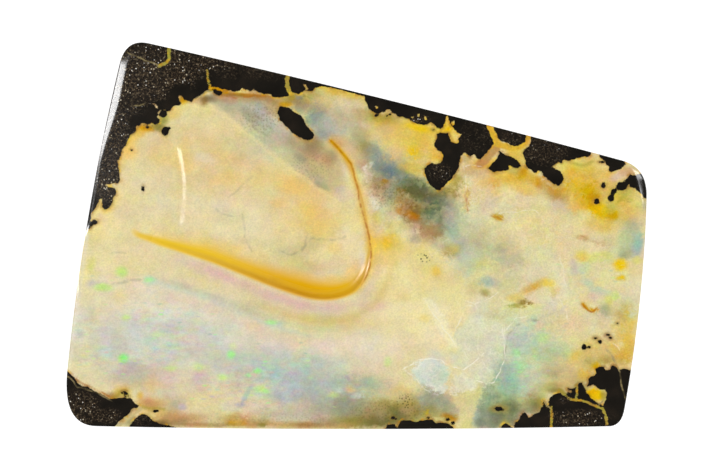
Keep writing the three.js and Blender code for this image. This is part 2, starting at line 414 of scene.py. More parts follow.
# ironstone: outlines of the dark patches, one of them painted edge shade, then what is cut out of them
ironstone = {
    "patches": {
        "farLeftCorner": [
            (80, 232), (90, 228), (91, 214), (94, 210), (97, 205), (99, 200), (102, 198), (102, 207),
            (105, 210), (109, 208), (112, 203), (113, 197), (116, 194), (116, 190), (112, 187), (106, 187),
            (103, 185), (109, 184), (117, 183), (120, 181), (119, 172), (118, 165), (117, 161), (120, 158),
            (121, 153), (123, 148), (126, 145), (128, 139), (130, 135), (134, 133), (136, 130), (136, 126),
            (139, 124), (143, 123), (149, 124), (152, 123), (155, 125), (159, 123), (160, 120), (157, 117),
            (158, 113), (160, 110), (165, 110), (170, 111), (173, 106), (180, 105), (182, 103), (179, 100),
            (178, 96), (181, 95), (184, 100), (191, 102), (194, 99), (200, 96), (206, 91), (211, 89),
            (215, 94), (221, 96), (223, 91), (229, 90), (234, 92), (240, 91), (242, 88), (247, 90), (250, 92),
            (253, 89), (258, 92), (263, 94), (270, 94), (273, 97), (280, 97), (286, 97), (290, 95), (293, 93),
            (297, 94), (301, 93), (305, 90), (309, 91), (312, 91), (314, 89), (318, 87), (321, 84), (320, 70),
            (200, 40), (120, 30), (100, 40),
        ],
        # a thin dark sliver along the far edge: painted edge shade, drawn as ironstone
        "farEdgeShade": [(316, 70), (318, 86), (330, 87.5), (345, 91), (360, 95), (366, 97), (366, 80)],
        "farEdge": [
            (364, 94), (365, 101), (367, 104), (368, 108), (371, 110), (374, 113), (378, 114), (381, 112),
            (384, 112), (386, 110), (390, 110), (392, 113), (396, 114), (398, 117), (403, 117), (409, 119),
            (413, 122), (418, 124), (424, 125), (428, 124), (431, 122), (434, 125), (437, 128), (440, 129),
            (443, 127), (445, 123), (447, 116), (449, 105), (370, 85),
        ],
        "hangingBlock": [
            (447, 110), (448, 117), (450, 123), (452, 127), (455, 130), (458, 133), (462, 134), (460, 137),
            (458, 139), (459, 142), (456, 144), (452, 142), (450, 138), (448, 133), (443, 133), (440, 132),
            (437, 134), (437, 138), (435, 142), (434, 146), (438, 150), (441, 152), (443, 155), (443, 159),
            (440, 163), (436, 164), (431, 163), (427, 165), (424, 169), (425, 174), (427, 180), (430, 185),
            (434, 188), (437, 191), (440, 190), (443, 187), (447, 183), (451, 180), (454, 175), (457, 171),
            (459, 166), (460, 161), (461, 156), (464, 152), (467, 154), (470, 157), (474, 154), (477, 158),
            (480, 160), (484, 156), (488, 151), (492, 147), (494, 143), (493, 139), (490, 133), (487, 127),
            (485, 118),
        ],
        "wedgeBlock": [
            (492, 118), (493, 127), (496, 133), (498, 138), (501, 141), (505, 142), (509, 144), (513, 146),
            (518, 147), (522, 145), (525, 142), (526, 137), (527, 128),
        ],
        "arrowBlock": [
            (488, 168), (491, 165), (494, 161), (497, 158), (499, 154), (498, 150), (501, 152), (505, 155),
            (509, 156), (513, 158), (517, 160), (520, 163), (521, 166), (518, 168), (514, 168), (511, 166),
            (509, 166), (509, 169), (505, 171), (498, 171), (493, 172), (491, 170),
        ],
        "farRightBlock": [
            (530, 128), (531, 137), (531, 143), (528, 147), (525, 149), (523, 152), (524, 157), (526, 162),
            (526, 166), (529, 169), (532, 170), (534, 173), (537, 173), (538, 171), (541, 171), (543, 175),
            (546, 178), (550, 181), (554, 184), (559, 186), (562, 183), (564, 179), (563, 175), (560, 171),
            (556, 169), (551, 167), (555, 165), (558, 162), (561, 163), (564, 160), (570, 161), (575, 159),
            (581, 157), (584, 156), (588, 157), (591, 155), (592, 145),
        ],
        "farRightBit": [
            (598, 150), (600, 157), (605, 161), (606, 164), (609, 167), (608, 170), (611, 172), (615, 171),
            (619, 170), (623, 167), (626, 164), (615, 150),
        ],
        "rightCorner": [
            (645, 172), (638, 175), (632, 175), (630, 174), (628, 177), (624, 180), (626, 183), (629, 184),
            (630, 187), (633, 188), (635, 187), (636, 190), (639, 192), (642, 194), (644, 198), (655, 202),
        ],
        "island": [
            (277.5, 110), (280, 106), (285, 106.5), (289, 108), (292, 109), (294, 112), (297, 114),
            (300, 115), (303.5, 118.5), (305, 123), (308, 127), (310, 130), (312.5, 132), (314, 135),
            (313, 138.5), (309, 140.5), (303.5, 139.5), (297, 135.5), (292, 132.5), (287.5, 127.5),
            (283.5, 123.5), (279.5, 120), (278, 115),
        ],
        "nearLeftCorner": [
            (55, 369), (68, 372), (71, 375), (75, 378), (77, 383), (82, 386), (88, 387), (94, 391),
            (100, 394), (104, 396), (109, 399), (113, 399), (117, 396), (121, 392), (125, 391), (128, 393),
            (129, 397), (131, 399), (135, 403), (139, 406), (137, 408), (133, 408), (131, 411), (128, 415),
            (125, 419), (121, 422), (117, 425), (112, 435), (60, 435),
        ],
        "nearLeftBit": [
            (127, 432), (130, 425), (134, 420), (138, 416), (143, 414), (148, 416), (152, 420), (158, 423),
            (166, 425), (176, 427.5), (176, 432),
        ],
        "nearEdge": [
            (384, 432), (387, 425), (394, 424), (396, 427), (398, 427), (399, 423), (402, 420), (408, 420),
            (413, 421), (417, 422), (421, 420), (428, 420), (432, 420), (436, 423), (440, 422), (444, 423),
            (449, 424), (453, 426), (457, 432),
        ],
        "nearRightBit": [(500, 432), (502, 425), (505, 423), (508, 425), (512, 427), (512, 432)],
        "nearRightCorner": [
            (513, 435), (515, 423), (519, 420), (521, 415), (524, 412), (527, 414), (529, 418), (532, 416),
            (536, 413), (540, 412), (541, 408), (543, 406), (542, 402), (544, 400), (545, 404), (547, 408),
            (549, 404), (549, 399), (552, 396), (556, 394), (561, 392), (566, 395), (568, 392), (567, 388),
            (571, 389), (574, 388), (577, 386), (579, 383), (582, 383), (584, 386), (585, 389), (587, 387),
            (589, 382), (588, 379), (590, 377), (594, 376), (596, 373), (596, 369), (599, 367), (604, 367),
            (606, 370), (610, 370), (611, 367), (614, 365), (617, 367), (618, 370), (621, 369), (625, 369),
            (630, 370), (645, 370), (640, 435),
        ],
    },
    # yellow and pale windows inside the patches
    "windows": [
        [(586, 387), (590, 386), (594, 385), (597, 387), (600, 390), (605, 390), (607, 393), (606, 397),
         (607, 400), (604, 402), (603, 406), (600, 405), (597, 402), (592, 399), (589, 395), (586, 392)],
        [(303, 84), (306, 85), (308, 89), (306, 91)],
        [(114, 395), (118, 393), (123, 394), (127, 396), (128, 399), (124, 397), (118, 398), (114, 399)],
        [(153, 103), (156, 104), (158, 108), (156, 108)],
        [(411, 117), (414, 116), (413, 119)],
        [(417, 114), (420, 114), (419, 117)],
        [(423, 115), (426, 117), (428, 120), (425, 120)],
        [(375, 106), (378, 107), (377, 110)],
        [(451, 122), (454, 121), (454, 125), (452, 126)],
        [(569, 390), (572, 391), (571, 394)],
        [(591, 388), (594, 387), (596, 390), (593, 391)],
    ],
    # x, y, half width and half height of loose dark spots
    "spots": [
        (163, 114, 4.2, 3.6), (165.5, 131, 4, 4.6), (169, 128, 1.5, 1.5), (94.5, 222, 3, 2.4),
        (91, 224, 1.4, 2.6), (622, 186, 6, 4.6), (628, 181, 2.6, 2.4), (614, 191.5, 3, 3),
        (611, 198, 3.4, 3.6), (603.5, 185, 2.2, 3), (597, 201.5, 3.2, 3), (602.5, 162, 2.6, 1.1),
        (142.7, 188.5, 1.7, 2.6), (131, 150, 1.1, 1.1), (392.5, 418, 1.9, 2), (396, 419, 1.2, 1.4),
        (428, 417.5, 1.6, 2), (448, 419.5, 2.8, 1.8), (453, 423, 2, 2), (499, 409, 5, 2.4),
        (584, 347.3, 2.5, 2.9), (589.5, 347, 1.6, 1.6), (595.5, 338, 1.9, 1.1), (600, 342, 2.2, 2.2),
        (607.5, 335, 2.2, 1.2), (610.5, 338, 1.5, 1.4), (618, 323.3, 1.5, 1.2), (155.5, 411.3, 3, 1.3),
        (376.5, 115, 2, 2), (387, 116, 1.4, 1.4), (390.5, 114, 1.4, 1.4), (561, 162, 1.6, 1.4),
        (139, 124, 2, 1.6), (147, 127, 2, 1.6), (433.5, 129.5, 1.5, 1),
    ],
    # half width, colour and points of the veins that cross the patches
    "veins": [
        (1.5, "vein", [(168, 44), (169, 52), (169, 60), (165, 63), (159, 66)]),
        (1.2, "vein", [(207, 70), (208, 78), (209, 84), (210, 89)]),
        (1.0, "amber", [(210, 88), (216, 88), (221, 90), (226, 91)]),
        (2.0, "vein", [(289, 72), (287, 80), (287, 86), (290, 92), (292, 97)]),
        (2.2, "marigold", [(488, 118), (490, 128), (494, 137), (497, 144)]),
        (2.6, "toffee", [(497, 146), (492, 152), (486, 159), (480, 164)]),
        (1.5, "marigold", [
            (497, 144), (504, 146), (512, 148), (520, 147), (526, 143), (528, 138), (528, 128),
        ]),
        (1.6, "drab", [(116, 427), (122, 421), (128, 417), (133, 412), (139, 409)]),
        (1.4, "vein", [(551, 407), (552, 416), (551, 430)]),
        (1.1, "vein", [
            (560, 391), (566, 396), (571, 400), (577, 400), (584, 401), (591, 404), (598, 407), (603, 409),
        ]),
        (1.1, "vein", [(577, 386), (577, 392), (577, 399)]),
        (1.4, "vein", [(603, 409), (606, 415), (607, 424)]),
    ],
    "grainPlaces": [
        (150, 75, 55, 34, 1.0), (120, 125, 24, 40, 0.9), (108, 165, 16, 42, 1.0), (205, 62, 40, 10, 0.8),
        (80, 408, 20, 18, 0.85), (106, 416, 16, 8, 0.75), (580, 418, 30, 9, 0.7), (545, 150, 26, 16, 0.5),
        (478, 135, 20, 18, 0.2), (440, 172, 12, 10, 0.5), (512, 138, 12, 7, 0.5), (420, 119, 10, 4, 0.8),
        (250, 74, 40, 8, 0.35), (142, 421, 10, 6, 0.4), (564, 400, 6, 4, 0.4),
    ],
}


# depth inside the ironstone in pixels: the deepest patch, less the windows and veins cut out of it,
# with the spots and then without them
def ironDepth(places):
    depth = np.full(len(places), -99.0)
    for outline in ironstone["patches"].values():
        depth = np.maximum(depth, depthInside(places, outline))
    for outline in ironstone["windows"]:
        depth = np.minimum(depth, -depthInside(places, outline))
    for halfWidth, _, path in ironstone["veins"]:
        gap, _ = nearestOnPath(places, np.array(path, dtype=float))
        depth = np.minimum(depth, gap - halfWidth)
    patchDepth = depth
    for x, y, halfWidth, halfHeight in ironstone["spots"]:
        away = np.hypot((places[:, 0] - x) / halfWidth, (places[:, 1] - y) / halfHeight)
        depth = np.maximum(depth, (1 - away) * min(halfWidth, halfHeight))
    return depth, patchDepth


# the opal's colours, as they show on a screen, 0 to 255
opalColours = {
    "cream": (229, 215, 168), "ivory": (237, 223, 178), "shell": (232, 219, 199), "peach": (229, 205, 150),
    "sand": (227, 208, 158), "honey": (232, 202, 134), "apricot": (242, 202, 112), "butter": (237, 221, 164),
    "lemon": (230, 214, 140), "citron": (222, 216, 128), "straw": (205, 184, 134), "wheat": (214, 190, 120),
    "yellow": (227, 191, 90), "gold": (242, 200, 50), "marigold": (222, 177, 72), "ochre": (230, 174, 0),
    "saffron": (242, 200, 14), "amber": (203, 140, 6), "rust": (182, 108, 20), "umber": (148, 110, 58),
    "toffee": (194, 150, 92), "clay": (210, 178, 134), "mauve": (164, 134, 94), "blush": (223, 202, 177),
    "rose": (224, 190, 178), "lilac": (199, 186, 174), "violet": (184, 177, 197), "mist": (176, 170, 149),
    "drab": (199, 181, 132), "smoke": (140, 134, 108), "slate": (136, 148, 132), "steel": (104, 125, 128),
    "pond": (164, 180, 164), "teal": (108, 121, 92), "sage": (199, 201, 158), "celadon": (204, 211, 194),
    "mint": (191, 212, 188), "aqua": (148, 188, 166), "fern": (160, 246, 136), "lime": (206, 234, 136),
    "ice": (215, 225, 213), "pearl": (247, 242, 224), "pale": (219, 221, 194), "oat": (211, 211, 198),
    "olive": (144, 130, 62), "moss": (96, 94, 50), "pine": (64, 82, 62), "peat": (84, 62, 20),
    "reed": (158, 164, 122), "fog": (172, 168, 142), "dusk": (182, 189, 183), "vein": (164, 148, 66),
    "bark": (112, 92, 52), "chalk": (233, 227, 205), "glare": (249, 235, 172), "hay": (220, 212, 152),
    "thread": (150, 134, 92),
}

# soft strokes of colour: x, y, half width, half height, turn in degrees clockwise, strength and colour
strokes = [
    # near left
    (98, 246, 34, 46, 0, 0.8, "butter"), (150, 302, 75, 22, 6, 0.75, "shell"),
    (225, 322, 50, 15, 16, 0.7, "shell"), (145, 345, 90, 30, 0, 0.9, "oat"),
    (84, 358, 14, 20, 0, 0.7, "cream"), (102, 350, 14, 9, 0, 0.6, "celadon"),
    (132, 379, 22, 10, 0, 0.5, "fog"), (135, 367, 12, 6, 10, 0.4, "mist"), (165, 372, 18, 9, 0, 0.6, "blush"),
    (185, 388, 24, 12, 0, 0.8, "blush"), (200, 379, 9, 7, 0, 0.6, "lilac"), (204, 402, 26, 9, 0, 0.7, "sand"),
    (80, 334, 4, 3.4, 0, 0.6, "mist"), (86, 312, 8, 10, 0, 0.25, "fog"), (160, 394, 16, 5, 10, 0.5, "lilac"),
    (171, 408, 8, 4, 0, 0.45, "rose"), (118, 342, 9, 9, 0, 0.35, "lilac"),
    (140, 396, 3, 4, 0, 0.7, "marigold"), (150, 384, 6, 10, 0, 0.5, "honey"),
    (122, 390, 8, 4, 0, 0.5, "amber"), (112, 396, 10, 3, 0, 0.7, "umber"), (168, 402, 8, 6, 30, 0.6, "clay"),
    (176, 405, 8, 5, -30, 0.7, "fog"), (182, 407, 4, 3, 0, 0.6, "violet"), (120, 298, 6, 7, 0, 0.4, "honey"),
    (195, 340, 60, 8, 4, 0.4, "shell"), (100, 300, 26, 8, 0, 0.4, "cream"),
    (148, 386, 30, 5, 0, 0.35, "clay"), (172, 320, 30, 8, 10, 0.4, "celadon"),
    (92, 284, 8, 3, 0, 0.4, "violet"), (132, 322, 12, 6, 0, 0.4, "lilac"),
    (154, 309, 36, 10, 6, 0.6, "chalk"), (134, 371, 16, 8, 0, 0.4, "lilac"),
    # the chalk stroke at x 78 is a painted highlight along the left edge's bevel
    (78, 318, 9, 22, 0, 0.55, "chalk"), (150, 404, 13, 6, 0, 0.85, "toffee"),
    (101, 222, 11, 18, 0, 0.5, "glare"), (112, 258, 24, 12, 0, 0.45, "ivory"),
    (200, 345, 70, 22, 6, 0.1, "violet"), (150, 330, 60, 14, 0, 0.4, "celadon"),
    # near middle
    (232, 342, 24, 7, 0, 0.6, "celadon"), (262, 343, 40, 7, 3, 0.6, "shell"),
    (340, 346, 60, 9, 0, 0.75, "shell"), (262, 366, 30, 13, 0, 0.75, "mint"),
    (296, 362, 30, 8, 0, 0.75, "celadon"), (330, 362, 34, 7, 0, 0.7, "celadon"),
    (228, 372, 16, 12, 0, 0.5, "oat"), (228, 392, 18, 10, 0, 0.7, "blush"),
    (300, 381, 36, 14, 0, 0.95, "dusk"), (330, 385, 22, 16, 0, 0.75, "dusk"),
    (285, 396, 26, 7, 0, 0.8, "dusk"), (280, 394, 14, 6, 0, 0.5, "violet"),
    (258, 405, 22, 7, 0, 0.6, "blush"), (262, 386, 10, 8, 0, 0.5, "celadon"),
    (350, 387, 28, 13, 0, 0.6, "pond"), (340, 404, 24, 10, 0, 0.85, "mist"), (318, 411, 26, 8, 0, 0.7, "fog"),
    (352, 408, 18, 9, 0, 0.7, "smoke"), (384, 408, 24, 9, 0, 0.75, "olive"),
    (386, 420, 34, 7, 0, 0.95, "moss"), (354, 421, 26, 6, 0, 0.85, "olive"),
    (372, 412, 16, 8, 0, 0.5, "umber"), (395, 376, 26, 12, 0, 0.7, "sand"),
    (380, 345, 34, 22, 0, 0.55, "shell"), (382, 389, 14, 8, 0, 0.5, "fog"), (350, 389, 4, 4, 0, 0.7, "honey"),
    (247, 394, 2.4, 13, 26, 0.85, "dusk"), (242, 405, 4, 2.6, 0, 0.8, "violet"),
    (300, 405, 12, 7, 0, 0.5, "lilac"), (272, 410, 20, 6, 0, 0.5, "oat"), (205, 420, 34, 7, 0, 0.7, "clay"),
    (170, 417, 14, 7, 0, 0.85, "toffee"), (160, 424, 12, 4, 0, 0.85, "bark"),
    (236, 420, 12, 6, 0, 0.95, "toffee"), (251, 423, 9, 5, 0, 0.9, "toffee"),
    (237, 423, 9, 3, 0, 0.7, "amber"), (266, 417, 14, 6, 0, 0.7, "clay"),
    (288, 424, 26, 4, 0, 0.85, "toffee"), (308, 425, 14, 3, 0, 0.6, "umber"),
    (200, 425, 40, 2, 0, 0.5, "umber"), (335, 425, 22, 3, 0, 0.7, "toffee"),
    (286, 416, 30, 6, 0, 0.55, "lilac"), (190, 418, 10, 4, 0, 0.5, "toffee"),
    (230, 408, 10, 5, 0, 0.5, "oat"), (266, 413, 9, 5, 0, 0.4, "mist"), (262, 425, 4, 2.4, 0, 0.9, "olive"),
    (345, 402, 34, 8, 0, 0.4, "slate"), (364, 382, 14, 9, 0, 0.4, "slate"),
    (292, 357, 24, 8, 0, 0.55, "celadon"), (262, 362, 50, 14, 4, 0.4, "dusk"),
    (290, 374, 50, 14, 4, 0.2, "violet"),
    # middle
    (425, 276, 36, 20, 0, 0.8, "lemon"), (392, 268, 18, 14, 0, 0.7, "butter"),
    (418, 322, 36, 26, 10, 0.75, "ivory"), (455, 315, 22, 24, 0, 0.7, "butter"),
    (436, 308, 12, 12, 0, 0.6, "ivory"), (440, 353, 16, 6, 0, 0.5, "lemon"),
    (400, 294, 14, 8, 0, 0.5, "peach"), (384, 290, 10, 8, 0, 0.5, "sand"), (371, 306, 16, 5, 0, 0.6, "rose"),
    (424, 318, 5, 4, 0, 0.35, "gold"), (454, 350, 4, 4.5, -30, 0.85, "gold"),
    (436, 271, 4, 5, 0, 0.45, "gold"), (404, 297, 5, 4, 0, 0.4, "honey"),
    (352, 324, 34, 6, -4, 0.55, "peach"), (325, 318, 30, 5, 4, 0.5, "straw"),
    (450, 322, 5, 9, -25, 0.6, "butter"), (388, 362, 3.5, 5, 0, 0.6, "lime"),
    (435, 330, 16, 8, 0, 0.4, "shell"), (410, 352, 24, 8, 0, 0.5, "cream"),
    (418, 318, 34, 22, 10, 0.4, "glare"), (460, 318, 18, 14, 0, 0.45, "ivory"),
    (390, 270, 20, 20, 0, 0.7, "glare"), (474, 260, 24, 12, 0, 0.75, "pale"),
    (437, 356, 11, 7, 0, 0.5, "ice"), (268, 309, 20, 7, 16, 0.45, "lilac"),
    (470, 300, 14, 12, 0, 0.4, "cream"), (374, 254, 7, 18, 0, 0.7, "apricot"),
    # petal
    (150, 190, 30, 40, 0, 0.7, "cream"), (150, 150, 26, 14, 0, 0.7, "peach"),
    (236, 158, 72, 40, 16, 0.9, "peach"), (250, 226, 58, 22, 14, 0.8, "ivory"),
    (318, 214, 30, 26, 38, 0.85, "honey"), (296, 186, 22, 10, 12, 0.8, "honey"),
    (350, 246, 14, 24, 0, 0.8, "ivory"), (340, 264, 26, 9, 0, 0.6, "sand"),
    (232, 250, 50, 9, 18, 0.5, "honey"), (206, 158, 10, 5, 20, 0.6, "shell"),
    (222, 206, 10, 7, 0, 0.5, "shell"), (170, 152, 14, 12, 0, 0.5, "honey"),
    (130, 178, 10, 24, 0, 0.5, "butter"), (185, 146, 6, 10, 0, 0.4, "honey"),
    (206, 112, 8, 6, 0, 0.5, "lemon"), (308, 243, 12, 10, -30, 0.6, "drab"),
    (290, 252, 14, 8, 10, 0.45, "drab"), (318, 228, 12, 9, 0, 0.4, "apricot"),
    (352, 274, 9, 7, -40, 0.6, "apricot"), (230, 120, 22, 10, 20, 0.6, "cream"),
    (262, 142, 20, 9, 30, 0.6, "sage"), (305, 268, 22, 7, 0, 0.5, "drab"),
    (262, 178, 14, 9, 10, 0.4, "honey"), (276, 200, 16, 14, 0, 0.4, "sand"),
    (330, 204, 10, 6, 30, 0.5, "ivory"), (352, 222, 6, 10, -20, 0.4, "lemon"),
    (190, 210, 20, 20, 0, 0.35, "ivory"), (284, 232, 16, 10, 0, 0.4, "peach"),
    (200, 185, 26, 12, 0, 0.4, "peach"), (292, 187, 14, 8, 10, 0.5, "apricot"),
    (240, 150, 20, 9, 30, 0.35, "sage"), (225, 178, 14, 6, -10, 0.3, "apricot"),
    (226, 158, 12, 6, 20, 0.35, "honey"), (185, 164, 9, 8, 0, 0.35, "apricot"),
    (310, 211, 12, 8, 30, 0.45, "apricot"), (322, 198, 8, 6, 20, 0.4, "honey"),
    (335, 248, 8, 5, 0, 0.4, "apricot"), (154, 198, 14, 14, 0, 0.4, "shell"),
    (204, 130, 12, 8, 0, 0.4, "ivory"), (266, 155, 14, 7, 20, 0.4, "celadon"),
    (229, 217, 14, 7, 0, 0.35, "sage"), (254, 242, 14, 5, 14, 0.3, "drab"),
    (292, 261, 16, 7, 10, 0.45, "wheat"), (279, 202, 9, 7, 0, 0.35, "apricot"),
    (364, 213, 8, 10, 0, 0.5, "apricot"), (129, 148, 6, 8, 0, 0.5, "apricot"),
    # far left edge
    (132, 136, 9, 6, -40, 0.9, "apricot"), (128, 150, 8, 9, -20, 0.7, "apricot"),
    (122, 162, 4, 9, 0, 0.6, "honey"), (146, 128, 9, 4, 0, 0.85, "amber"), (158, 126, 8, 5, 30, 0.9, "olive"),
    (163, 119, 5, 5, 0, 0.8, "olive"), (174, 113, 8, 6, -20, 0.6, "yellow"),
    (183, 100, 4, 4, 0, 0.9, "ochre"), (204, 101, 4, 5, 0, 0.9, "umber"), (213, 99, 5, 4, 0, 0.8, "smoke"),
    (105, 206, 9, 6, 0, 0.6, "apricot"), (96, 218, 7, 6, 0, 0.6, "clay"), (93, 232, 7, 10, 0, 0.5, "citron"),
    (140, 133, 5, 4, 0, 0.7, "yellow"), (196, 101, 7, 3, 0, 0.5, "clay"), (180, 107, 9, 5, -20, 0.5, "lemon"),
    (116, 196, 6, 6, 0, 0.5, "honey"),
    # mist band
    (224, 104, 12, 6, 25, 0.8, "fog"), (240, 104, 18, 6, 12, 0.75, "lilac"),
    (256, 108, 16, 7, 20, 0.9, "mist"), (262, 122, 17, 8, 40, 0.9, "dusk"),
    (250, 116, 10, 5, 35, 0.7, "smoke"), (282, 138, 24, 12, 44, 0.85, "lilac"),
    (296, 150, 18, 9, 40, 0.75, "drab"), (316, 164, 26, 15, 44, 0.85, "drab"),
    (318, 150, 12, 7, 40, 0.7, "straw"), (330, 158, 9, 9, 0, 0.7, "mauve"),
    (333, 182, 12, 8, 30, 0.75, "straw"), (343, 196, 9, 8, 0, 0.7, "blush"),
    (321, 186, 8, 3.4, 30, 0.5, "smoke"), (340, 189, 5, 4, 0, 0.6, "lilac"),
    (300, 158, 7, 4, 30, 0.5, "smoke"), (246, 95, 28, 2, 4, 0.85, "rust"),
    (262, 99, 14, 2.5, 10, 0.5, "toffee"), (341, 170, 8, 9, 20, 0.5, "straw"),
    (352, 176, 4, 10, -10, 0.6, "honey"), (309, 140, 8, 5, 30, 0.6, "smoke"),
    (336, 144, 8, 5, 40, 0.7, "toffee"), (206, 99, 7, 3, 0, 0.55, "bark"), (232, 95, 16, 2, 3, 0.5, "bark"),
    (276, 108, 12, 7, 20, 0.5, "umber"), (314, 143, 12, 12, 30, 0.85, "mauve"),
    (292, 142, 12, 7, 40, 0.3, "smoke"),
    # far middle
    (338, 98, 38, 12, 12, 0.9, "wheat"), (345, 92, 26, 4, 13, 0.6, "yellow"),
    (300, 100, 12, 8, 20, 0.9, "vein"), (296, 97, 6, 3, 0, 0.7, "slate"), (318, 112, 14, 8, 20, 0.7, "mist"),
    (313, 120, 8, 6, 0, 0.9, "pond"), (334, 126, 18, 8, 14, 0.8, "pond"), (322, 132, 12, 6, 10, 0.7, "pond"),
    (352, 108, 20, 8, 12, 0.7, "blush"), (352, 122, 22, 8, 20, 0.75, "fog"),
    (360, 140, 14, 9, 40, 0.75, "reed"), (366, 148, 8, 8, 40, 0.7, "olive"),
    (350, 155, 9, 10, 40, 0.7, "clay"), (373, 132, 14, 9, 20, 0.7, "straw"),
    (366, 122, 8, 6, 0, 0.5, "lilac"), (382, 122, 12, 6, 10, 0.9, "marigold"),
    (372, 116, 6, 5, 0, 0.8, "vein"), (386, 117, 7, 3, 0, 0.8, "vein"), (285, 104, 6, 3, 0, 0.7, "amber"),
    (414, 138, 36, 22, 14, 0.98, "yellow"), (386, 132, 7, 7, 0, 0.6, "clay"),
    (412, 152, 6, 6, 0, 0.9, "gold"), (420, 128, 14, 4, 14, 0.8, "gold"),
    (436, 142, 8, 12, 0, 0.8, "marigold"), (448, 132, 9, 10, 0, 0.95, "gold"),
    (398, 140, 14, 10, 0, 0.4, "honey"), (436, 157, 8, 4, 0, 0.8, "marigold"),
    (392, 150, 9, 5, 20, 0.5, "sand"), (376, 140, 8, 7, 0, 0.5, "sand"), (412, 163, 10, 4, 20, 0.6, "lemon"),
    (362, 165, 5, 9, 0, 0.7, "lilac"), (368, 178, 4, 9, 0, 0.6, "rose"), (314, 92, 10, 5, 15, 0.5, "olive"),
    (315, 108, 11, 7, 15, 0.4, "smoke"), (316, 117, 10, 7, 20, 0.5, "slate"),
    (380, 117, 18, 6, 12, 0.6, "vein"), (342, 92, 26, 5, 13, 0.7, "marigold"),
    (340, 140, 10, 6, 30, 0.4, "toffee"), (364, 116, 12, 7, 10, 0.6, "vein"),
    (340, 117, 10, 6, 10, 0.4, "drab"),
    # slate hollow
    (388, 168, 18, 11, 30, 0.95, "slate"), (376, 156, 9, 12, -30, 0.85, "slate"),
    (390, 170, 8, 6, 20, 0.8, "steel"), (405, 178, 10, 8, 0, 0.9, "steel"),
    (420, 184, 14, 7, 20, 0.9, "teal"), (398, 192, 12, 9, 0, 0.8, "slate"),
    (379, 184, 9, 9, 0, 0.85, "mauve"), (385, 184, 4, 4.5, 0, 0.9, "amber"),
    (380, 196, 8, 7, 0, 0.7, "mauve"), (405, 199, 7, 9, 0, 0.95, "rust"), (414, 200, 8, 8, 0, 0.9, "bark"),
    (426, 194, 10, 6, 0, 0.95, "moss"), (432, 200, 8, 7, 0, 0.85, "steel"),
    (402, 211.5, 3.5, 3.2, 0, 0.95, "rust"), (446, 204, 7, 6, 0, 0.9, "teal"),
    (418, 216, 9, 6, 25, 0.98, "rust"), (430, 229, 13, 10, 10, 0.95, "mauve"),
    (436, 214, 9, 7, 0, 0.9, "teal"), (442, 226, 5, 12, -10, 0.85, "smoke"),
    (450, 228, 6, 16, -18, 0.85, "pond"), (462, 248, 12, 9, 30, 0.8, "pond"),
    (454, 214, 8, 8, 0, 0.6, "sage"), (410, 226, 10, 6, 0, 0.7, "straw"), (422, 240, 12, 4, 10, 0.7, "drab"),
    (440, 244, 9, 6, 0, 0.6, "fog"), (375, 204, 4, 7, 0, 0.95, "pearl"), (372, 202, 8, 11, 0, 0.4, "pale"),
    (392, 208, 6, 9, 0, 0.6, "fog"), (376, 216, 6, 7, 0, 0.7, "straw"), (448, 194, 8, 8, 0, 0.8, "olive"),
    (456, 181, 7, 8, 0, 0.85, "vein"), (464, 222, 12, 16, 0, 0.7, "sage"),
    (384, 244, 16, 10, 0, 0.98, "gold"), (377, 225, 5, 12, 0, 0.7, "yellow"),
    (366, 200, 4, 16, -8, 0.7, "honey"), (374, 266, 6, 14, 0, 0.6, "honey"),
    (393, 228, 12, 7, 0, 0.7, "lemon"), (410, 252, 20, 9, 0, 0.7, "lemon"), (415, 240, 6, 4, 0, 0.5, "fog"),
    (410, 168, 12, 7, 10, 0.45, "vein"), (394, 190, 10, 8, 0, 0.6, "smoke"),
    (413, 190, 12, 9, 0, 0.95, "teal"), (430, 194, 12, 8, 10, 0.9, "moss"),
    (436, 209, 13, 10, 0, 0.9, "teal"), (416, 212, 11, 8, 20, 0.85, "umber"),
    (396, 209, 7, 8, 0, 0.4, "toffee"), (455, 210, 8, 9, 0, 0.5, "reed"), (420, 186, 9, 3, 20, 0.6, "steel"),
    (416, 191, 17, 10, 10, 0.85, "teal"), (432, 197, 12, 8, 10, 0.85, "moss"),
    (438, 211, 13, 10, 0, 0.85, "teal"), (416, 212, 11, 8, 20, 0.8, "umber"),
    (402, 197, 9, 8, 20, 0.85, "rust"), (438, 140, 10, 8, 0, 0.5, "yellow"),
    (364, 164, 8, 9, 0, 0.5, "toffee"), (387, 192, 10, 10, 0, 0.75, "mauve"),
    (388, 212, 9, 9, 0, 0.5, "toffee"), (416, 188, 14, 10, 10, 0.6, "moss"),
    (387, 190, 10, 10, 0, 0.5, "smoke"), (414, 213, 12, 8, 20, 0.8, "umber"),
    (437, 212, 17, 12, 0, 0.9, "teal"), (418, 190, 10, 9, 0, 0.5, "moss"), (437, 213, 13, 10, 0, 0.8, "teal"),
    (413, 214, 11, 7, 20, 0.75, "umber"), (388, 189, 8, 8, 0, 0.5, "smoke"),
    (400, 196, 8, 7, 20, 0.65, "rust"), (436, 141, 9, 8, 0, 0.5, "lemon"),
    (412, 166, 11, 5, 10, 0.4, "marigold"), (400, 211, 4, 3, 10, 0.8, "rust"),
    (414, 216, 7, 3.5, 25, 0.8, "rust"), (430, 231, 11, 7, 10, 0.7, "mauve"),
    (452, 226, 6, 18, -16, 0.5, "pond"), (462, 250, 16, 9, 30, 0.5, "pond"),
    (388, 257, 12, 9, 0, 0.55, "apricot"),
    # right middle
    (474, 252, 18, 14, 0, 0.75, "sage"), (470, 254, 7, 7, 0, 0.6, "pond"), (452, 250, 9, 6, 0, 0.7, "vein"),
    (454, 249, 6, 4, 0, 0.4, "citron"), (501, 249, 7, 4, 0, 0.75, "fog"), (490, 282, 11, 5, 12, 0.9, "pond"),
    (486, 266, 12, 8, 0, 0.6, "citron"), (470, 266, 12, 9, 0, 0.6, "sage"), (510, 282, 12, 9, 0, 0.5, "sage"),
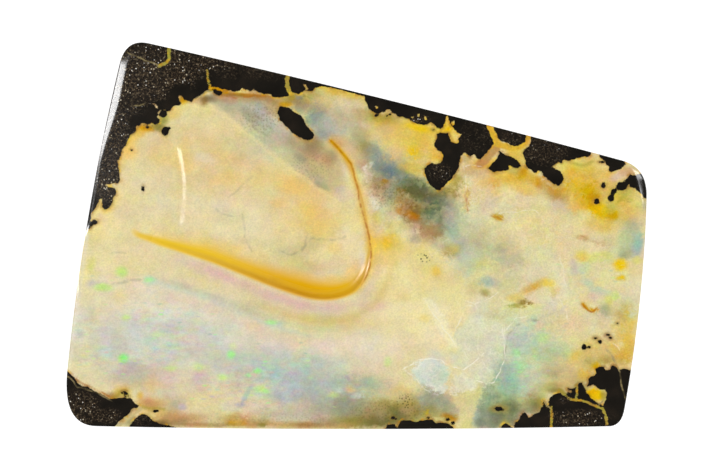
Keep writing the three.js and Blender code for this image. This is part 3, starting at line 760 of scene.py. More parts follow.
    (474, 288, 8, 7, 0, 0.6, "straw"), (485, 293, 5, 4, 0, 0.75, "olive"), (482, 308, 12, 10, 0, 0.7, "pale"),
    (497, 217, 6, 3, 20, 0.85, "amber"), (466, 196, 4, 12, 0, 0.6, "yellow"),
    (475, 196, 14, 12, 0, 0.6, "sand"), (500, 205, 26, 10, 0, 0.5, "peach"),
    (470, 172, 12, 6, 0, 0.8, "clay"), (494, 182, 6, 4, 0, 0.9, "marigold"),
    (508, 177, 22, 6, 6, 0.85, "marigold"), (526, 186, 18, 7, 14, 0.7, "yellow"),
    (514, 306, 7, 2.4, -15, 0.7, "vein"), (515, 298, 8, 4, 0, 0.6, "yellow"),
    (534, 286, 13, 4, -30, 0.9, "marigold"), (549, 283, 7, 4, 10, 0.95, "gold"),
    (556, 291, 5, 5, 40, 0.7, "yellow"), (523, 303, 4.5, 3.8, 0, 0.98, "olive"),
    (536, 306, 14, 3, 0, 0.6, "citron"), (500, 315, 16, 6, -10, 0.6, "sage"),
    (530, 262, 20, 12, 0, 0.4, "cream"), (560, 275, 14, 16, 0, 0.5, "butter"),
    (490, 244, 26, 14, 10, 0.4, "reed"), (508, 262, 14, 9, 0, 0.35, "reed"),
    # far right
    (590, 172, 34, 13, 16, 0.95, "marigold"), (578, 162, 20, 5, 0, 0.6, "citron"),
    (592, 193, 10, 8, 0, 0.98, "amber"), (580, 205, 12, 7, -10, 0.85, "marigold"),
    (602, 210, 8, 12, -25, 0.9, "ochre"), (615, 213, 5, 5, 0, 0.95, "ochre"),
    (620, 198, 14, 10, 0, 0.85, "marigold"), (630, 214, 14, 10, 0, 0.6, "wheat"),
    (602, 224, 14, 7, 0, 0.7, "yellow"), (620, 175, 12, 4.5, -28, 0.9, "rose"),
    (543, 184, 16, 5, 34, 0.9, "amber"), (560, 193, 14, 7, 10, 0.8, "toffee"),
    (516, 158, 10, 10, 30, 0.95, "yellow"), (524, 172, 6, 6, 0, 0.7, "amber"),
    (530, 176, 10, 4, 20, 0.6, "marigold"), (540, 192, 12, 6, 10, 0.5, "wheat"),
    (558, 208, 14, 7, 0, 0.35, "lilac"), (563, 214, 8, 6, 0, 0.5, "sage"), (540, 214, 22, 8, 0, 0.5, "sand"),
    (601, 190, 5, 4, 0, 0.6, "clay"), (588, 186, 6, 6, 0, 0.6, "yellow"), (620, 220, 7, 5, 0, 0.5, "wheat"),
    (583, 237, 6, 3, 10, 0.5, "toffee"), (570, 226, 26, 8, 0, 0.5, "peach"),
    (552, 164, 8, 4, 0, 0.4, "citron"), (640, 205, 8, 8, 0, 0.6, "citron"),
    (574, 189, 13, 11, 0, 0.8, "marigold"), (553, 190, 9, 7, 10, 0.6, "umber"),
    (597, 208, 9, 8, 0, 0.7, "ochre"), (591, 192, 7, 7, 0, 0.7, "amber"),
    (594, 168, 12, 6, 10, 0.65, "yellow"), (514, 152, 10, 5, 10, 0.6, "marigold"),
    (494, 169, 8, 5, 0, 0.6, "umber"), (475, 171, 12, 6, 0, 0.6, "wheat"),
    (484, 164, 12, 5, 0, 0.6, "marigold"), (484, 188, 12, 9, 0, 0.45, "honey"),
    (556, 187, 9, 7, 10, 0.5, "marigold"), (581, 188, 11, 9, 0, 0.65, "ochre"),
    (604, 189, 8, 7, 0, 0.35, "ochre"), (628, 190, 8, 7, 0, 0.5, "vein"), (604, 164, 10, 6, 0, 0.8, "lemon"),
    (628, 211, 9, 8, 0, 0.4, "marigold"), (628, 237, 10, 9, 0, 0.6, "reed"),
    (628, 308, 10, 12, 0, 0.7, "oat"), (508, 332, 11, 9, 0, 0.45, "ice"), (484, 188, 14, 9, 0, 0.8, "honey"),
    (556, 236, 14, 9, 0, 0.45, "honey"), (600, 258, 10, 5, 0, 0.55, "lime"),
    (560, 170, 7, 5, 0, 0.6, "lemon"), (606, 197, 6, 5, 0, 0.5, "toffee"), (612, 214, 6, 6, 0, 0.6, "amber"),
    (585, 186, 7, 4, 0, 0.5, "yellow"), (604, 163, 12, 8, 0, 0.6, "lemon"),
    (592, 188, 22, 7, 0, 0.35, "wheat"), (580, 380, 12, 9, 0, 0.85, "reed"),
    (592, 195, 9, 11, -15, 0.5, "amber"), (594, 200, 5, 7, 0, 0.6, "rust"),
    (556, 189, 9, 6, 14, 0.5, "amber"), (484, 163, 13, 5, 0, 0.5, "marigold"),
    (572, 176, 14, 6, 10, 0.3, "marigold"), (608, 206, 12, 9, 0, 0.35, "lemon"),
    # right end
    (632, 226, 8, 8, 0, 0.75, "fog"), (636, 245, 7, 12, 0, 0.95, "pond"), (638, 243, 4, 7, 0, 0.7, "aqua"),
    (625, 252, 7, 6, 0, 0.85, "reed"), (622, 240, 8, 8, 0, 0.5, "sage"), (621.5, 264, 6.5, 6, 0, 1.0, "gold"),
    (621, 278, 4.5, 2.4, 0, 1.0, "ochre"), (600, 257, 16, 5, -8, 0.85, "citron"),
    (583, 255, 6, 5, 0, 0.7, "yellow"), (575, 268, 4, 9, -8, 0.4, "violet"), (584, 268, 5, 6, 0, 0.5, "mint"),
    (587, 282, 7, 4, 20, 0.7, "mint"), (600, 291, 12, 4, 20, 0.7, "mint"), (585, 300, 8, 6, 0, 0.6, "peach"),
    (596, 296, 10, 4, -10, 0.5, "rose"), (609, 300, 4, 6, 0, 0.8, "citron"), (616, 296, 4, 5, 0, 0.8, "lime"),
    (605, 311, 7, 7, 0, 0.7, "reed"), (624, 314, 10, 7, 0, 0.75, "reed"), (638, 260, 5, 4, 0, 0.8, "citron"),
    (612, 280, 12, 10, 0, 0.4, "cream"), (635, 288, 10, 12, 0, 0.6, "chalk"),
    (632, 310, 8, 8, 0, 0.5, "pale"), (590, 320, 18, 8, 0, 0.4, "blush"), (565, 325, 22, 10, 0, 0.5, "peach"),
    (560, 308, 10, 8, 0, 0.6, "shell"),
    # near right
    (626, 335, 14, 26, 0, 0.95, "yellow"), (622, 352, 12, 10, 0, 0.8, "marigold"),
    (598, 350, 18, 10, 0, 0.8, "wheat"), (605, 360, 10, 5, 0, 0.8, "vein"),
    (588, 361, 4.5, 3.6, 0, 0.9, "olive"), (595, 366, 5, 4, 0, 0.95, "ochre"),
    (578, 366, 14, 10, 0, 0.6, "wheat"), (603, 350, 6, 5, 0, 0.6, "clay"), (575, 355, 5, 4, 0, 0.6, "yellow"),
    (565, 382, 14, 8, -10, 0.7, "wheat"), (585, 374, 8, 8, 0, 0.8, "marigold"),
    (620, 345, 4, 5, 0, 0.5, "ivory"), (595, 394, 9, 6, 10, 1.0, "ochre"), (599, 396, 6, 4, 0, 0.7, "gold"),
    (604, 395, 3, 6, 0, 0.6, "olive"), (522, 350, 20, 30, 12, 0.9, "mint"), (512, 344, 7, 9, 0, 0.6, "dusk"),
    (507, 374, 10, 12, 15, 0.95, "aqua"), (516, 352, 4, 4, 0, 0.5, "fern"), (521, 366, 6, 5, 0, 0.35, "fern"),
    (514, 390, 10, 9, 0, 0.85, "aqua"), (540, 366, 18, 14, 0, 0.6, "sage"),
    (555, 352, 14, 10, 0, 0.6, "citron"), (542, 338, 7, 5, 0, 0.7, "lime"), (538, 326, 6, 6, 0, 0.5, "rose"),
    (533, 321, 4, 4, 0, 0.85, "mint"), (552, 376, 12, 8, 0, 0.6, "citron"),
    (540, 388, 10, 8, 0, 0.7, "citron"), (530, 402, 8, 8, 0, 0.8, "vein"), (540, 404, 6, 7, 0, 0.8, "vein"),
    (494, 392, 12, 8, 0, 0.9, "reed"), (486, 412, 12, 16, 0, 0.95, "slate"),
    (505, 404, 14, 8, 0, 0.8, "reed"), (511, 409, 12, 6, 0, 0.8, "olive"), (475, 420, 5, 6, 0, 0.7, "pond"),
    (505, 420, 18, 6, 0, 0.85, "smoke"), (492, 408, 4, 2, 0, 0.9, "rust"), (500, 409, 9, 5, 0, 0.7, "bark"),
    (520, 396, 10, 7, 0, 0.5, "sage"), (556, 391, 8, 2.6, 0, 0.7, "olive"),
    (554, 388, 11, 6, 0, 0.5, "olive"), (536, 392, 10, 8, 0, 0.45, "reed"), (555, 370, 14, 9, 0, 0.5, "reed"),
    (496, 410, 14, 8, 0, 0.7, "teal"), (514, 411, 10, 7, 0, 0.7, "teal"), (476, 408, 7, 10, 0, 0.4, "pond"),
    (534, 408, 8, 7, 0, 0.6, "moss"), (594, 352, 14, 7, 0, 0.5, "marigold"),
    (555, 354, 14, 9, 0, 0.4, "pond"), (580, 358, 12, 7, 0, 0.4, "marigold"),
    (532, 380, 12, 10, 0, 0.45, "pond"), (486, 404, 10, 11, 0, 0.5, "teal"),
    (508, 404, 11, 9, 0, 0.5, "teal"), (545, 345, 18, 12, 0, 0.3, "aqua"),
    # near edge
    (430, 402, 14, 9, 0, 0.85, "reed"), (444, 404, 10, 9, 0, 0.85, "reed"), (420, 396, 9, 6, 0, 0.7, "fog"),
    (406, 402, 12, 8, 0, 0.85, "vein"), (418, 412, 14, 7, 0, 0.85, "olive"),
    (436, 414, 12, 7, 0, 0.8, "olive"), (396, 412, 10, 6, 0, 0.6, "moss"),
    (427, 413, 2.6, 2.6, 0, 0.95, "ochre"), (448, 416, 6, 3, 0, 0.9, "rust"),
    (402, 392, 14, 6, 0, 0.6, "wheat"), (452, 418, 5, 4, 0, 0.7, "rust"), (427, 400, 6, 6, 0, 0.5, "mist"),
    (435, 408, 13, 8, 0, 0.6, "smoke"), (437, 402, 12, 9, 0, 0.8, "slate"),
    # border shade
    (228, 98, 16, 5, 2, 0.4, "umber"), (254, 98, 14, 5, 2, 0.45, "umber"), (276, 99, 9, 5, 0, 0.45, "umber"),
    (288, 98, 6, 6, 0, 0.7, "olive"), (298, 106, 6, 9, 20, 0.65, "smoke"), (310, 121, 7, 6, 20, 0.5, "slate"),
    (322, 133, 8, 6, 20, 0.5, "slate"), (406, 195, 7, 7, 0, 0.4, "peat"), (419, 207, 8, 6, 10, 0.35, "peat"),
    (430, 205, 8, 8, 0, 0.45, "pine"), (394, 193, 6, 6, 0, 0.35, "steel"), (382, 206, 6, 6, 0, 0.35, "mist"),
    (358, 172, 4, 9, -10, 0.45, "mist"), (346, 171, 4, 7, -20, 0.5, "shell"),
    (466, 158, 5, 5, 0, 0.4, "vein"), (485, 182, 10, 5, 0, 0.5, "marigold"),
    (514, 170, 8, 4, 0, 0.45, "vein"), (628, 171, 9, 5, -10, 0.45, "toffee"), (646, 206, 4, 6, 0, 0.6, "fog"),
    (610, 242, 7, 6, 0, 0.5, "drab"), (610, 206, 5, 5, 0, 0.35, "vein"), (550, 374, 8, 6, 0, 0.5, "reed"),
    (588, 364, 9, 6, 0, 0.35, "vein"), (622, 362, 6, 5, 0, 0.35, "vein"), (490, 386, 7, 6, 0, 0.5, "pond"),
    (322, 402, 10, 9, 0, 0.4, "slate"), (286, 410, 10, 6, 0, 0.4, "mist"), (430, 410, 7, 6, 0, 0.4, "moss"),
    (442, 410, 6, 6, 0, 0.3, "reed"), (454, 409, 6, 6, 0, 0.6, "reed"), (502, 411, 8, 6, 0, 0.4, "pine"),
    (130, 421, 6, 7, -45, 0.5, "bark"), (180, 422, 9, 4, 0, 0.4, "umber"), (262, 422, 8, 4, 0, 0.4, "umber"),
    (326, 422, 14, 4, 0, 0.4, "smoke"), (376, 422, 12, 4, 0, 0.3, "moss"), (480, 422, 6, 6, 0, 0.7, "teal"),
    (492, 423, 8, 5, 0, 0.45, "teal"), (508, 422, 12, 5, 0, 0.6, "teal"),
    # pale clouds; the glare stroke at x 82 is a painted highlight along the left edge's bevel
    (454, 134, 5, 6, 0, 0.5, "lemon"), (598, 176, 8, 9, 0, 0.5, "lemon"), (118, 194, 5, 7, 0, 0.6, "butter"),
    (562, 194, 7, 6, 0, 0.45, "wheat"), (574, 206, 7, 5, 0, 0.4, "peach"), (94, 224, 6, 12, 0, 0.6, "glare"),
    (82, 270, 6, 18, 0, 0.6, "glare"), (94, 290, 8, 6, 0, 0.5, "ivory"), (370, 247, 5, 10, 0, 0.5, "apricot"),
    (394, 254, 9, 6, 0, 0.35, "glare"), (472, 254, 11, 7, 0, 0.55, "pale"), (454, 218, 6, 7, 0, 0.6, "sage"),
    (250, 374, 7, 6, 0, 0.6, "blush"), (226, 362, 7, 6, 0, 0.4, "blush"), (634, 314, 5, 6, 0, 0.45, "pale"),
    (637, 332, 4, 12, 0, 0.5, "butter"), (118, 386, 7, 5, 0, 0.5, "cream"), (400, 398, 11, 6, 0, 0.6, "sage"),
    (406, 410, 7, 5, 0, 0.4, "drab"), (526, 409, 6, 5, 0, 0.5, "reed"), (238, 422, 6, 4, 0, 0.5, "clay"),
    (142, 188, 10, 12, 0, 0.6, "ivory"), (226, 218, 8, 6, 0, 0.5, "ivory"),
    (334, 278, 9, 4, 0, 0.45, "apricot"), (358, 266, 5, 7, 0, 0.5, "honey"),
    (358, 290, 6, 4, -30, 0.35, "marigold"),
]

# small bright spots of fire, drawn last
fireSpots = [
    (121, 272, 6, 5, 0, 0.95, "lime"), (103, 288, 9, 4, 5, 0.95, "lime"),
    (150, 281, 5.5, 4.5, 0, 0.85, "mint"), (122.5, 358, 4.5, 4, 0, 1.0, "fern"),
    (231.5, 355, 4.5, 4, 0, 0.8, "fern"), (222, 377.5, 5, 3, 20, 0.8, "lime"),
    (91, 264, 4, 7, 0, 0.6, "citron"), (126, 318, 4.5, 3, 0, 0.7, "lime"), (262, 372, 7, 3, 25, 0.7, "mint"),
    (278, 379, 4, 6, 0, 0.7, "mint"), (148, 340, 5, 5, 0, 0.6, "mint"), (158, 334, 6, 3, 0, 0.6, "lime"),
    (198, 367, 6, 4, 0, 0.6, "lime"), (170, 368, 7, 3, 0, 0.6, "lime"), (260, 389, 5, 4, 0, 0.6, "lime"),
    (276, 323, 7, 2.5, 5, 0.8, "mint"), (233, 346, 4, 3, 0, 0.5, "lime"), (334, 395, 5, 3, 0, 0.6, "lime"),
    (340, 390, 3, 3, 0, 0.6, "ice"), (357, 396, 6, 3, -10, 0.5, "ice"), (295, 363, 6, 3, 0, 0.7, "mint"),
    (257, 371, 4, 2.4, -10, 0.7, "fern"), (271, 368, 5, 2.4, 0, 0.7, "mint"),
    (249, 375, 3, 2, 0, 0.6, "fern"), (275, 381, 5, 2.6, 0, 0.6, "mint"), (149, 280, 5, 2.6, 0, 0.6, "fern"),
    (271, 322, 6, 2.4, 5, 0.6, "fern"), (266, 392, 4, 2, 20, 0.5, "fern"), (175, 345, 9, 5, 0, 0.5, "mint"),
    (110, 355, 9, 4, 0, 0.5, "celadon"), (191, 315, 10, 4, 10, 0.4, "mint"),
]

# soft bands of colour along paths: half width, strength, colour and points
bands = [
    (5, 0.35, "rose", [(192, 266), (208, 269), (220, 274)]),
    (5, 0.4, "apricot", [(152, 233), (180, 239), (208, 246), (236, 252)]),
    # a painted highlight along the left edge's bevel
    (1.8, 0.5, "chalk", [(87, 234), (81, 275), (74, 325), (68.5, 372)]),
    (1.6, 0.25, "pearl", [(425, 300), (432, 312), (441, 322), (449, 336), (456, 345)]),
    (4.5, 0.4, "glare", [(424, 300), (436, 316), (446, 330), (455, 348)]),
    (2.2, 0.5, "ivory", [(557, 262), (564, 280), (565, 298), (560, 298)]),
    (1.1, 0.7, "toffee", [(466, 190), (467, 200), (468, 211)]),
    (2.4, 0.6, "peach", [(580, 300), (585, 308), (592, 313), (598, 309)]),
    (1.6, 0.9, "amber", [(583, 305), (588, 310), (592, 312), (596, 309)]),
    (1.2, 0.3, "toffee", [(586, 238), (595, 242), (604, 244)]),
    (1.5, 0.7, "vein", [(137, 407), (148, 408), (156, 408), (164, 409)]),
    (3, 0.8, "vein", [(113, 399), (120, 394), (127, 396)]),
    (1.3, 0.6, "pearl", [(366, 170), (370, 165), (372, 162)]),
    (1.3, 0.4, "pearl", [(366, 182), (367, 174), (366, 168)]),
    (1.4, 0.5, "vein", [(618, 200), (625, 198), (632, 200)]),
    (1.5, 0.5, "vein", [(572, 163), (580, 165), (588, 164), (592, 162)]),
    (1.6, 0.5, "butter", [
        (229, 118), (248, 135), (271, 155), (294, 172), (314, 187), (337, 201), (354, 213),
    ]),
    (4, 0.6, "peach", [(232, 254), (250, 262), (280, 270), (310, 276)]),
    # a painted pinkish highlight on the inner wall of the lip's right side
    (3.2, 0.6, "shell", [(350, 284), (357, 277), (361, 268), (362, 256), (361, 244)]),
    (5, 0.5, "rose", [(200, 268), (230, 280), (262, 294), (300, 305), (340, 308)]),
]

# layers below the lip: distance from it, half width, strength, colour and the lip's x where they run
lipLayers = [
    (9, 6, 0.6, "blush", 175, 372), (9, 3.5, 0.45, "rose", 210, 340), (21, 6, 0.4, "sand", 190, 300),
    (22, 5, 0.5, "wheat", 265, 372), (33, 4, 0.35, "fog", 175, 290), (37, 3, 0.6, "celadon", 160, 320),
    (30, 3, 0.4, "sage", 240, 340), (46, 6, 0.4, "blush", 180, 340),
]

# filled shapes of colour: softness of the edge, strength, colour and outline
shapes = [
    (3, 0.8, "ice", [
        (411, 370), (416, 364), (424, 360), (432, 358), (440, 361), (447, 366), (449, 372), (446, 380),
        (448, 389), (442, 394), (434, 392), (427, 387), (419, 381), (414, 375),
    ]),
    (5, 0.7, "pale", [
        (448, 345), (458, 330), (466, 318), (480, 314), (500, 322), (505, 338), (503, 358), (497, 374),
        (488, 382), (480, 380), (470, 368), (462, 368), (452, 364),
    ]),
    (2.5, 0.85, "hay", [
        (452, 390), (458, 382), (468, 379), (478, 382), (483, 388), (479, 396), (476, 406), (471, 416),
        (470, 429), (459, 429), (462, 418), (458, 408), (452, 402),
    ]),
    (1.6, 0.55, "pearl", [
        (423, 297), (432, 299), (438, 310), (447, 320), (451, 333), (458, 346), (455, 350), (446, 339),
        (436, 327), (429, 312),
    ]),
    (2, 0.6, "pearl", [(412, 370), (417, 363), (424, 360), (421, 365), (417, 372)]),
    (5, 0.6, "mint", [(432, 367), (445, 366), (447, 376), (441, 386), (431, 380)]),
    (3, 0.6, "fog", [(423, 385), (432, 388), (441, 394), (434, 397), (427, 392)]),
    (2, 0.5, "vein", [(525, 304), (516, 306), (507, 310), (514, 310), (525, 306)]),
    (1.3, 0.85, "olive", [(521.5, 303), (524, 300.5), (528, 300), (530.5, 303), (528, 306), (524, 306)]),
    (2.5, 0.3, "fog", [
        (216, 103), (229, 115), (248, 132), (271, 151), (294, 168), (314, 184), (330, 193), (326, 180),
        (312, 164), (296, 152), (282, 140), (266, 122), (250, 108), (232, 102),
    ]),
    (4, 0.7, "chalk", [(453, 378), (466, 372), (479, 380), (476, 390), (462, 394), (452, 392)]),
]

# crisp thin lines: strength and points of each, by colour
lines = {
    "grey": [
        (0.4, [(283, 252), (291, 254), (300, 251), (305, 245), (307, 238)]),
        (0.25, [(313, 239), (325, 240), (336, 240), (345, 236)]),
        (0.22, [(228, 197), (236, 192), (243, 184), (252, 176)]),
        (0.25, [(243, 215), (244, 228), (246, 240), (252, 250)]),
        (0.25, [(111, 254), (118, 252), (124, 253)]),
        (0.3, [(112, 285), (124, 282), (140, 279)]),
        (0.5, [(503, 358), (506, 345), (508, 335), (515, 326), (526, 321), (536, 320)]),
        (0.5, [(608, 351), (612, 356), (616, 362), (618, 367)]),
        (0.2, [(212, 205), (220, 214), (232, 216)]),
        (0.35, [(246, 118), (252, 124), (257, 130), (266, 136)]),
    ],
    "pale": [
        (0.7, [(425, 300), (432, 312), (437, 318), (441, 324), (449, 336), (456, 346)]),
        (0.9, [
            (404, 369), (412, 366), (416, 362), (429, 358), (441, 360), (452, 367), (464, 369), (474, 363),
            (484, 354),
        ]),
        (0.5, [(404, 369), (413, 376), (421, 385), (428, 391)]),
        (0.75, [(478, 381), (487, 383), (494, 381), (500, 372), (504, 358), (505, 340), (503, 330)]),
        (0.5, [(505, 332), (509, 325), (517, 319), (528, 316)]),
        (0.6, [(560, 300), (566, 310), (568, 320)]),
        (0.4, [(560, 258), (563, 272), (566, 285)]),
        (0.5, [(464, 163), (466, 180), (466, 195), (468, 207)]),
        (0.4, [(464, 165), (480, 166)]),
        (0.4, [(500, 214), (520, 211), (532, 209), (538, 213)]),
        (0.4, [(464, 352), (468, 359)]),
        (0.4, [(464, 300), (474, 304), (478, 311)]),
        (0.4, [(614, 344), (619, 347), (620, 350)]),
        (0.5, [(497, 293), (483, 301), (465, 307), (463, 315), (456, 330)]),
        (0.45, [(479, 336), (477, 350), (483, 362), (489, 371)]),
    ],
    "rust": [
        (0.75, [
            (331, 141), (338, 148), (345, 156), (351, 164), (354, 173), (357, 186), (359, 199), (362, 211),
            (366, 224), (369, 236), (371, 247), (371, 256), (370, 265), (367, 276), (362, 284),
        ]),
        (0.8, [(583, 305), (588, 310), (592, 312), (596, 309)]),
        (0.6, [(466, 193), (467, 203), (468, 211)]),
        (0.6, [(492, 216), (497, 217), (501, 219)]),
        (0.7, [(582, 236), (586, 238)]),
        (0.6, [(222, 95), (236, 98), (252, 96), (268, 96)]),
        (0.8, [(68, 373), (76, 379), (84, 385), (94, 389), (104, 394), (112, 398)]),
    ],
    "thread": [
        (0.8, [(159, 66), (152, 62), (145, 60), (138, 57), (128, 53)]),
        (0.7, [(195, 98), (202, 94), (209, 90)]),
        (0.7, [(135, 105), (139, 105), (143, 104)]),
        (0.8, [
            (66, 376), (70, 378), (74, 382), (77, 387), (83, 388), (90, 391), (97, 393), (103, 397),
            (110, 400),
        ]),
        (0.9, [(614, 361), (618, 367), (620, 372), (621, 384), (625, 398)]),
        (0.9, [(544, 401), (547, 406), (550, 408)]),
        (0.9, [(599, 405), (603, 401), (606, 396)]),
    ],
}


# a screen colour as light: the usual curve from screen value to light
def asLight(colour):
    value = np.asarray(colour, dtype=float) / 255
    return np.where(value <= 0.04045, value / 12.92, ((value + 0.055) / 1.055) ** 2.4)


# moves the places by two noises, so that strokes have ragged natural edges
def wavered(places, amount, cell, seed):
    return places + amount * np.stack(
        [layeredNoise(places, cell, seed), layeredNoise(places, cell, seed + 40)], axis=1
    )


# the strongest of some soft ovals, each given as x, y, half width, half height and strength
def ovalShare(places, ovals):
    share = np.zeros(len(places))
    for x, y, halfWidth, halfHeight, strength in ovals:
        away = np.hypot((places[:, 0] - x) / halfWidth, (places[:, 1] - y) / halfHeight)
        share = np.maximum(share, strength * (1 - smoothStep(0.6, 1.25, away)))
    return share


# how the colours are brushed on, in pixels of the photograph
brush = {
    "wide": (7, 26),  # how far edges wander, and over what length
    "fine": (3.4, 8),
    "calm": 0.7,  # share of that where the seam is whole
    "unrest": 0.9,  # what is added where it is broken up
    "stirCell": 12,
    "strokeSizes": (3, 14),  # half widths between which strokes grow more ragged
    "blotches": (("blush", 24, 61, 0.35), ("citron", 18, 67, 0.3), ("pale", 30, 71, 0.35)),
    "stains": (("yellow", 3.2, 0.4, -0.2, 18, 31), ("umber", 1.4, 0.6, -0.4, 9, 35)),
}


# colour over the opal: each layer mixes its colour in by its strength and by a soft fall from its middle
def paintOpal(places, iron, inside, lipPlaces, busy, seed):
    far = wavered(wavered(places, *brush["wide"], 21 + seed), *brush["fine"], 25 + seed)
    ragged = places + (far - places) * (brush["calm"] + brush["unrest"] * busy)[:, None]
    colours = np.tile(np.array(opalColours["cream"], dtype=float), (len(places), 1))
    extent = 0.3 + 0.7 * busy
    stirs = [layeredNoise(places, brush["stirCell"], seed + stir, 4, 0.7) * extent for stir in (91, 95, 99)]

    # moves every colour towards the named one by a share of the way
    def mixIn(name, share):
        nonlocal colours
        target = np.array(opalColours[name], dtype=float)
        colours = colours + (target - colours) * np.clip(share, 0, 1)[:, None]

    # a turned oval: its share falls as a bell from its middle, and a large one has a more ragged edge
    def stroke(x, y, halfWidth, halfHeight, turn, strength, name):
        cosine, sine = math.cos(math.radians(turn)), math.sin(math.radians(turn))
        large = float(smoothStep(*brush["strokeSizes"], min(halfWidth, halfHeight)))
        spots = places + (ragged - places) * (0.25 + 0.75 * large)
        dx, dy = spots[:, 0] - x, spots[:, 1] - y
        away = ((dx * cosine + dy * sine) / halfWidth) ** 2 + ((dy * cosine - dx * sine) / halfHeight) ** 2
        away = np.maximum(away + (0.35 + 0.65 * large) * stirs[int(x + y) % 3], 0)
        mixIn(name, strength * np.exp(-0.8 * away ** (1.7 - 0.5 * large)))

    for mark in strokes:
        stroke(*mark)

    # blotches where the seam is broken up
    for name, cell, blotchSeed, amount in brush["blotches"]:
        mixIn(name, amount * busy * smoothStep(0.05, 0.5, layeredNoise(ragged, cell, blotchSeed, 4, 0.65)))

    for distance, halfWidth, strength, name, fromX, toX in lipLayers:
        run = smoothStep(fromX - 15, fromX + 15, lipPlaces[:, 0])
        run = run * (1 - smoothStep(toX - 12, toX + 12, lipPlaces[:, 0]))
        run = run * smoothStep(215, 232, lipPlaces[:, 1])
        wander = 1.5 * layeredNoise(places, 40, 81)
        mixIn(name, strength * run * np.exp(-(((-inside - distance + wander) / halfWidth) ** 2)))
    for softness, strength, name, outline in shapes:
        depth = depthInside(places + (ragged - places) * 0.6, outline)
        mixIn(name, strength * smoothStep(-softness / 2, softness / 2, depth))
    for halfWidth, strength, name, path in bands:
        gap, _ = nearestOnPath(places + (ragged - places) * 0.3, np.array(path, dtype=float))
        mixIn(name, strength * np.exp(-((gap / halfWidth) ** 2)))
    for mark in fireSpots:
        stroke(*mark)

    # stain where the opal meets the ironstone, and the veins that cross it
    for name, width, strength, low, cell, stainSeed in brush["stains"]:
        patchy = smoothStep(low, 0.5, layeredNoise(places, cell, stainSeed))
        mixIn(name, strength * np.exp(-((iron / width) ** 2)) * patchy)
    for halfWidth, name, path in ironstone["veins"]:
        gap, _ = nearestOnPath(places, np.array(path, dtype=float))
        mixIn(name, 0.95 * (1 - smoothStep(halfWidth + 0.5, halfWidth + 2.5, gap)))

    # a warm band along the lip's right side, with amber at its upper end
    gap, _ = nearestOnPath(places, np.array(lines["rust"][0][1], dtype=float))
    mixIn("apricot", 0.6 * np.exp(-((gap / 4) ** 2)))
    mixIn("amber", 0.75 * np.exp(-((gap / 1.7) ** 2)) * (1 - smoothStep(158, 176, places[:, 1])))
    return asLight(colours)


# crisp lines: how far each point lies beside the nearest line, and that line's strength, fading with distance
def lineMarks(places, group):
    beside = np.full(len(places), 99.0)
    share = np.zeros(len(places))
    best = np.full(len(places), np.inf)
    for strength, path in group:
        for start, end in zip(np.array(path[:-1], dtype=float), np.array(path[1:], dtype=float)):
            piece = end - start
            length = np.hypot(*piece)
            offset = places - start
            along = np.clip(offset @ piece / length**2, 0, 1)
            gap = np.hypot(*(offset - along[:, None] * piece).T)
            side = (piece[0] * offset[:, 1] - piece[1] * offset[:, 0]) / length
            closer = gap < best
            best[closer] = gap[closer]
            beside[closer] = np.where(side < 0, -1, 1)[closer] * gap[closer]
            share[closer] = strength
    return beside, share * (1 - smoothStep(1.5, 3.5, best))


# the glow along the lip: its width, strength and darkness, read off by the direction from the fold's centre
def lipGlow(lipPlaces):
    centreX, centreY = toPhoto(np.array([fold["centre"]]))[0]
    turn = np.degrees(np.arctan2(lipPlaces[:, 1] - centreY, lipPlaces[:, 0] - centreX))
    turns, *columns = np.array(fold["glow"], dtype=float).T
    return [np.interp(turn, turns, column) for column in columns]


# markings of every point of the surface
points = surface["points"]
faceCount = surface["faceCount"]
places = toPhoto(points[:, :2])
inside = np.full(len(points), -99.0)
inside[:faceCount] = surface["inside"] / photo["pixelSize"]
lipPlaces = np.zeros((len(points), 2))
lipPlaces[:faceCount] = toPhoto(surface["nearestLip"])
iron, patches = ironDepth(places)
print("ironstone traced, share of the face", (iron[:faceCount] > 0).mean().round(3))

# down the wall the seam thins out over ironstone, sooner where it is narrow;
# the lower wall and the back are ironstone
seam = {
    "top": 1.0,  # millimetres below the top of the dome
    "reach": 2.6,
    "waver": 1.2,
    "cell": 7.0,
    "least": 0.2,
    "narrowing": 1.1,  # how much further it reaches for each millimetre away from ironstone
    "fray": 0.3,
    "frayCell": 1.2,
    "drawIn": 0.04,  # the wall's colours come from this share further in for each millimetre down
    "grain": 0.55,
}
down = np.maximum(stone["thickness"] - seam["top"] - points[:, 2], 0)
seamReach = seam["reach"] + seam["waver"] * layeredNoise(points[:, :2], seam["cell"], 51)
seamReach = np.minimum(seamReach, seam["least"] - iron * photo["pixelSize"] * seam["narrowing"])
seamReach += seam["fray"] * layeredNoise(points[:, :2] + points[:, 2:], seam["frayCell"], 55)
belowSeam = np.where(down > 0, (down - seamReach) / photo["pixelSize"], -99)
iron = np.maximum(iron, belowSeam)
paintPlaces = toPhoto(points[:, :2] * (1 - seam["drawIn"] * down[:, None]))
grain = np.maximum(ovalShare(places, ironstone["grainPlaces"]), np.where(belowSeam > 0, seam["grain"], 0))

# the far left corner's ironstone is smooth along the seam
seamDepth = depthInside(places, ironstone["patches"]["farLeftCorner"]) + 5 * layeredNoise(places, 16, 57)
smoothBand = (1 - smoothStep(6, 15, seamDepth)) * smoothStep(-6, -3, seamDepth)
smoothBand = smoothBand * (1 - smoothStep(122, 140, places[:, 1]))
grain = grain * (1 - smoothBand)

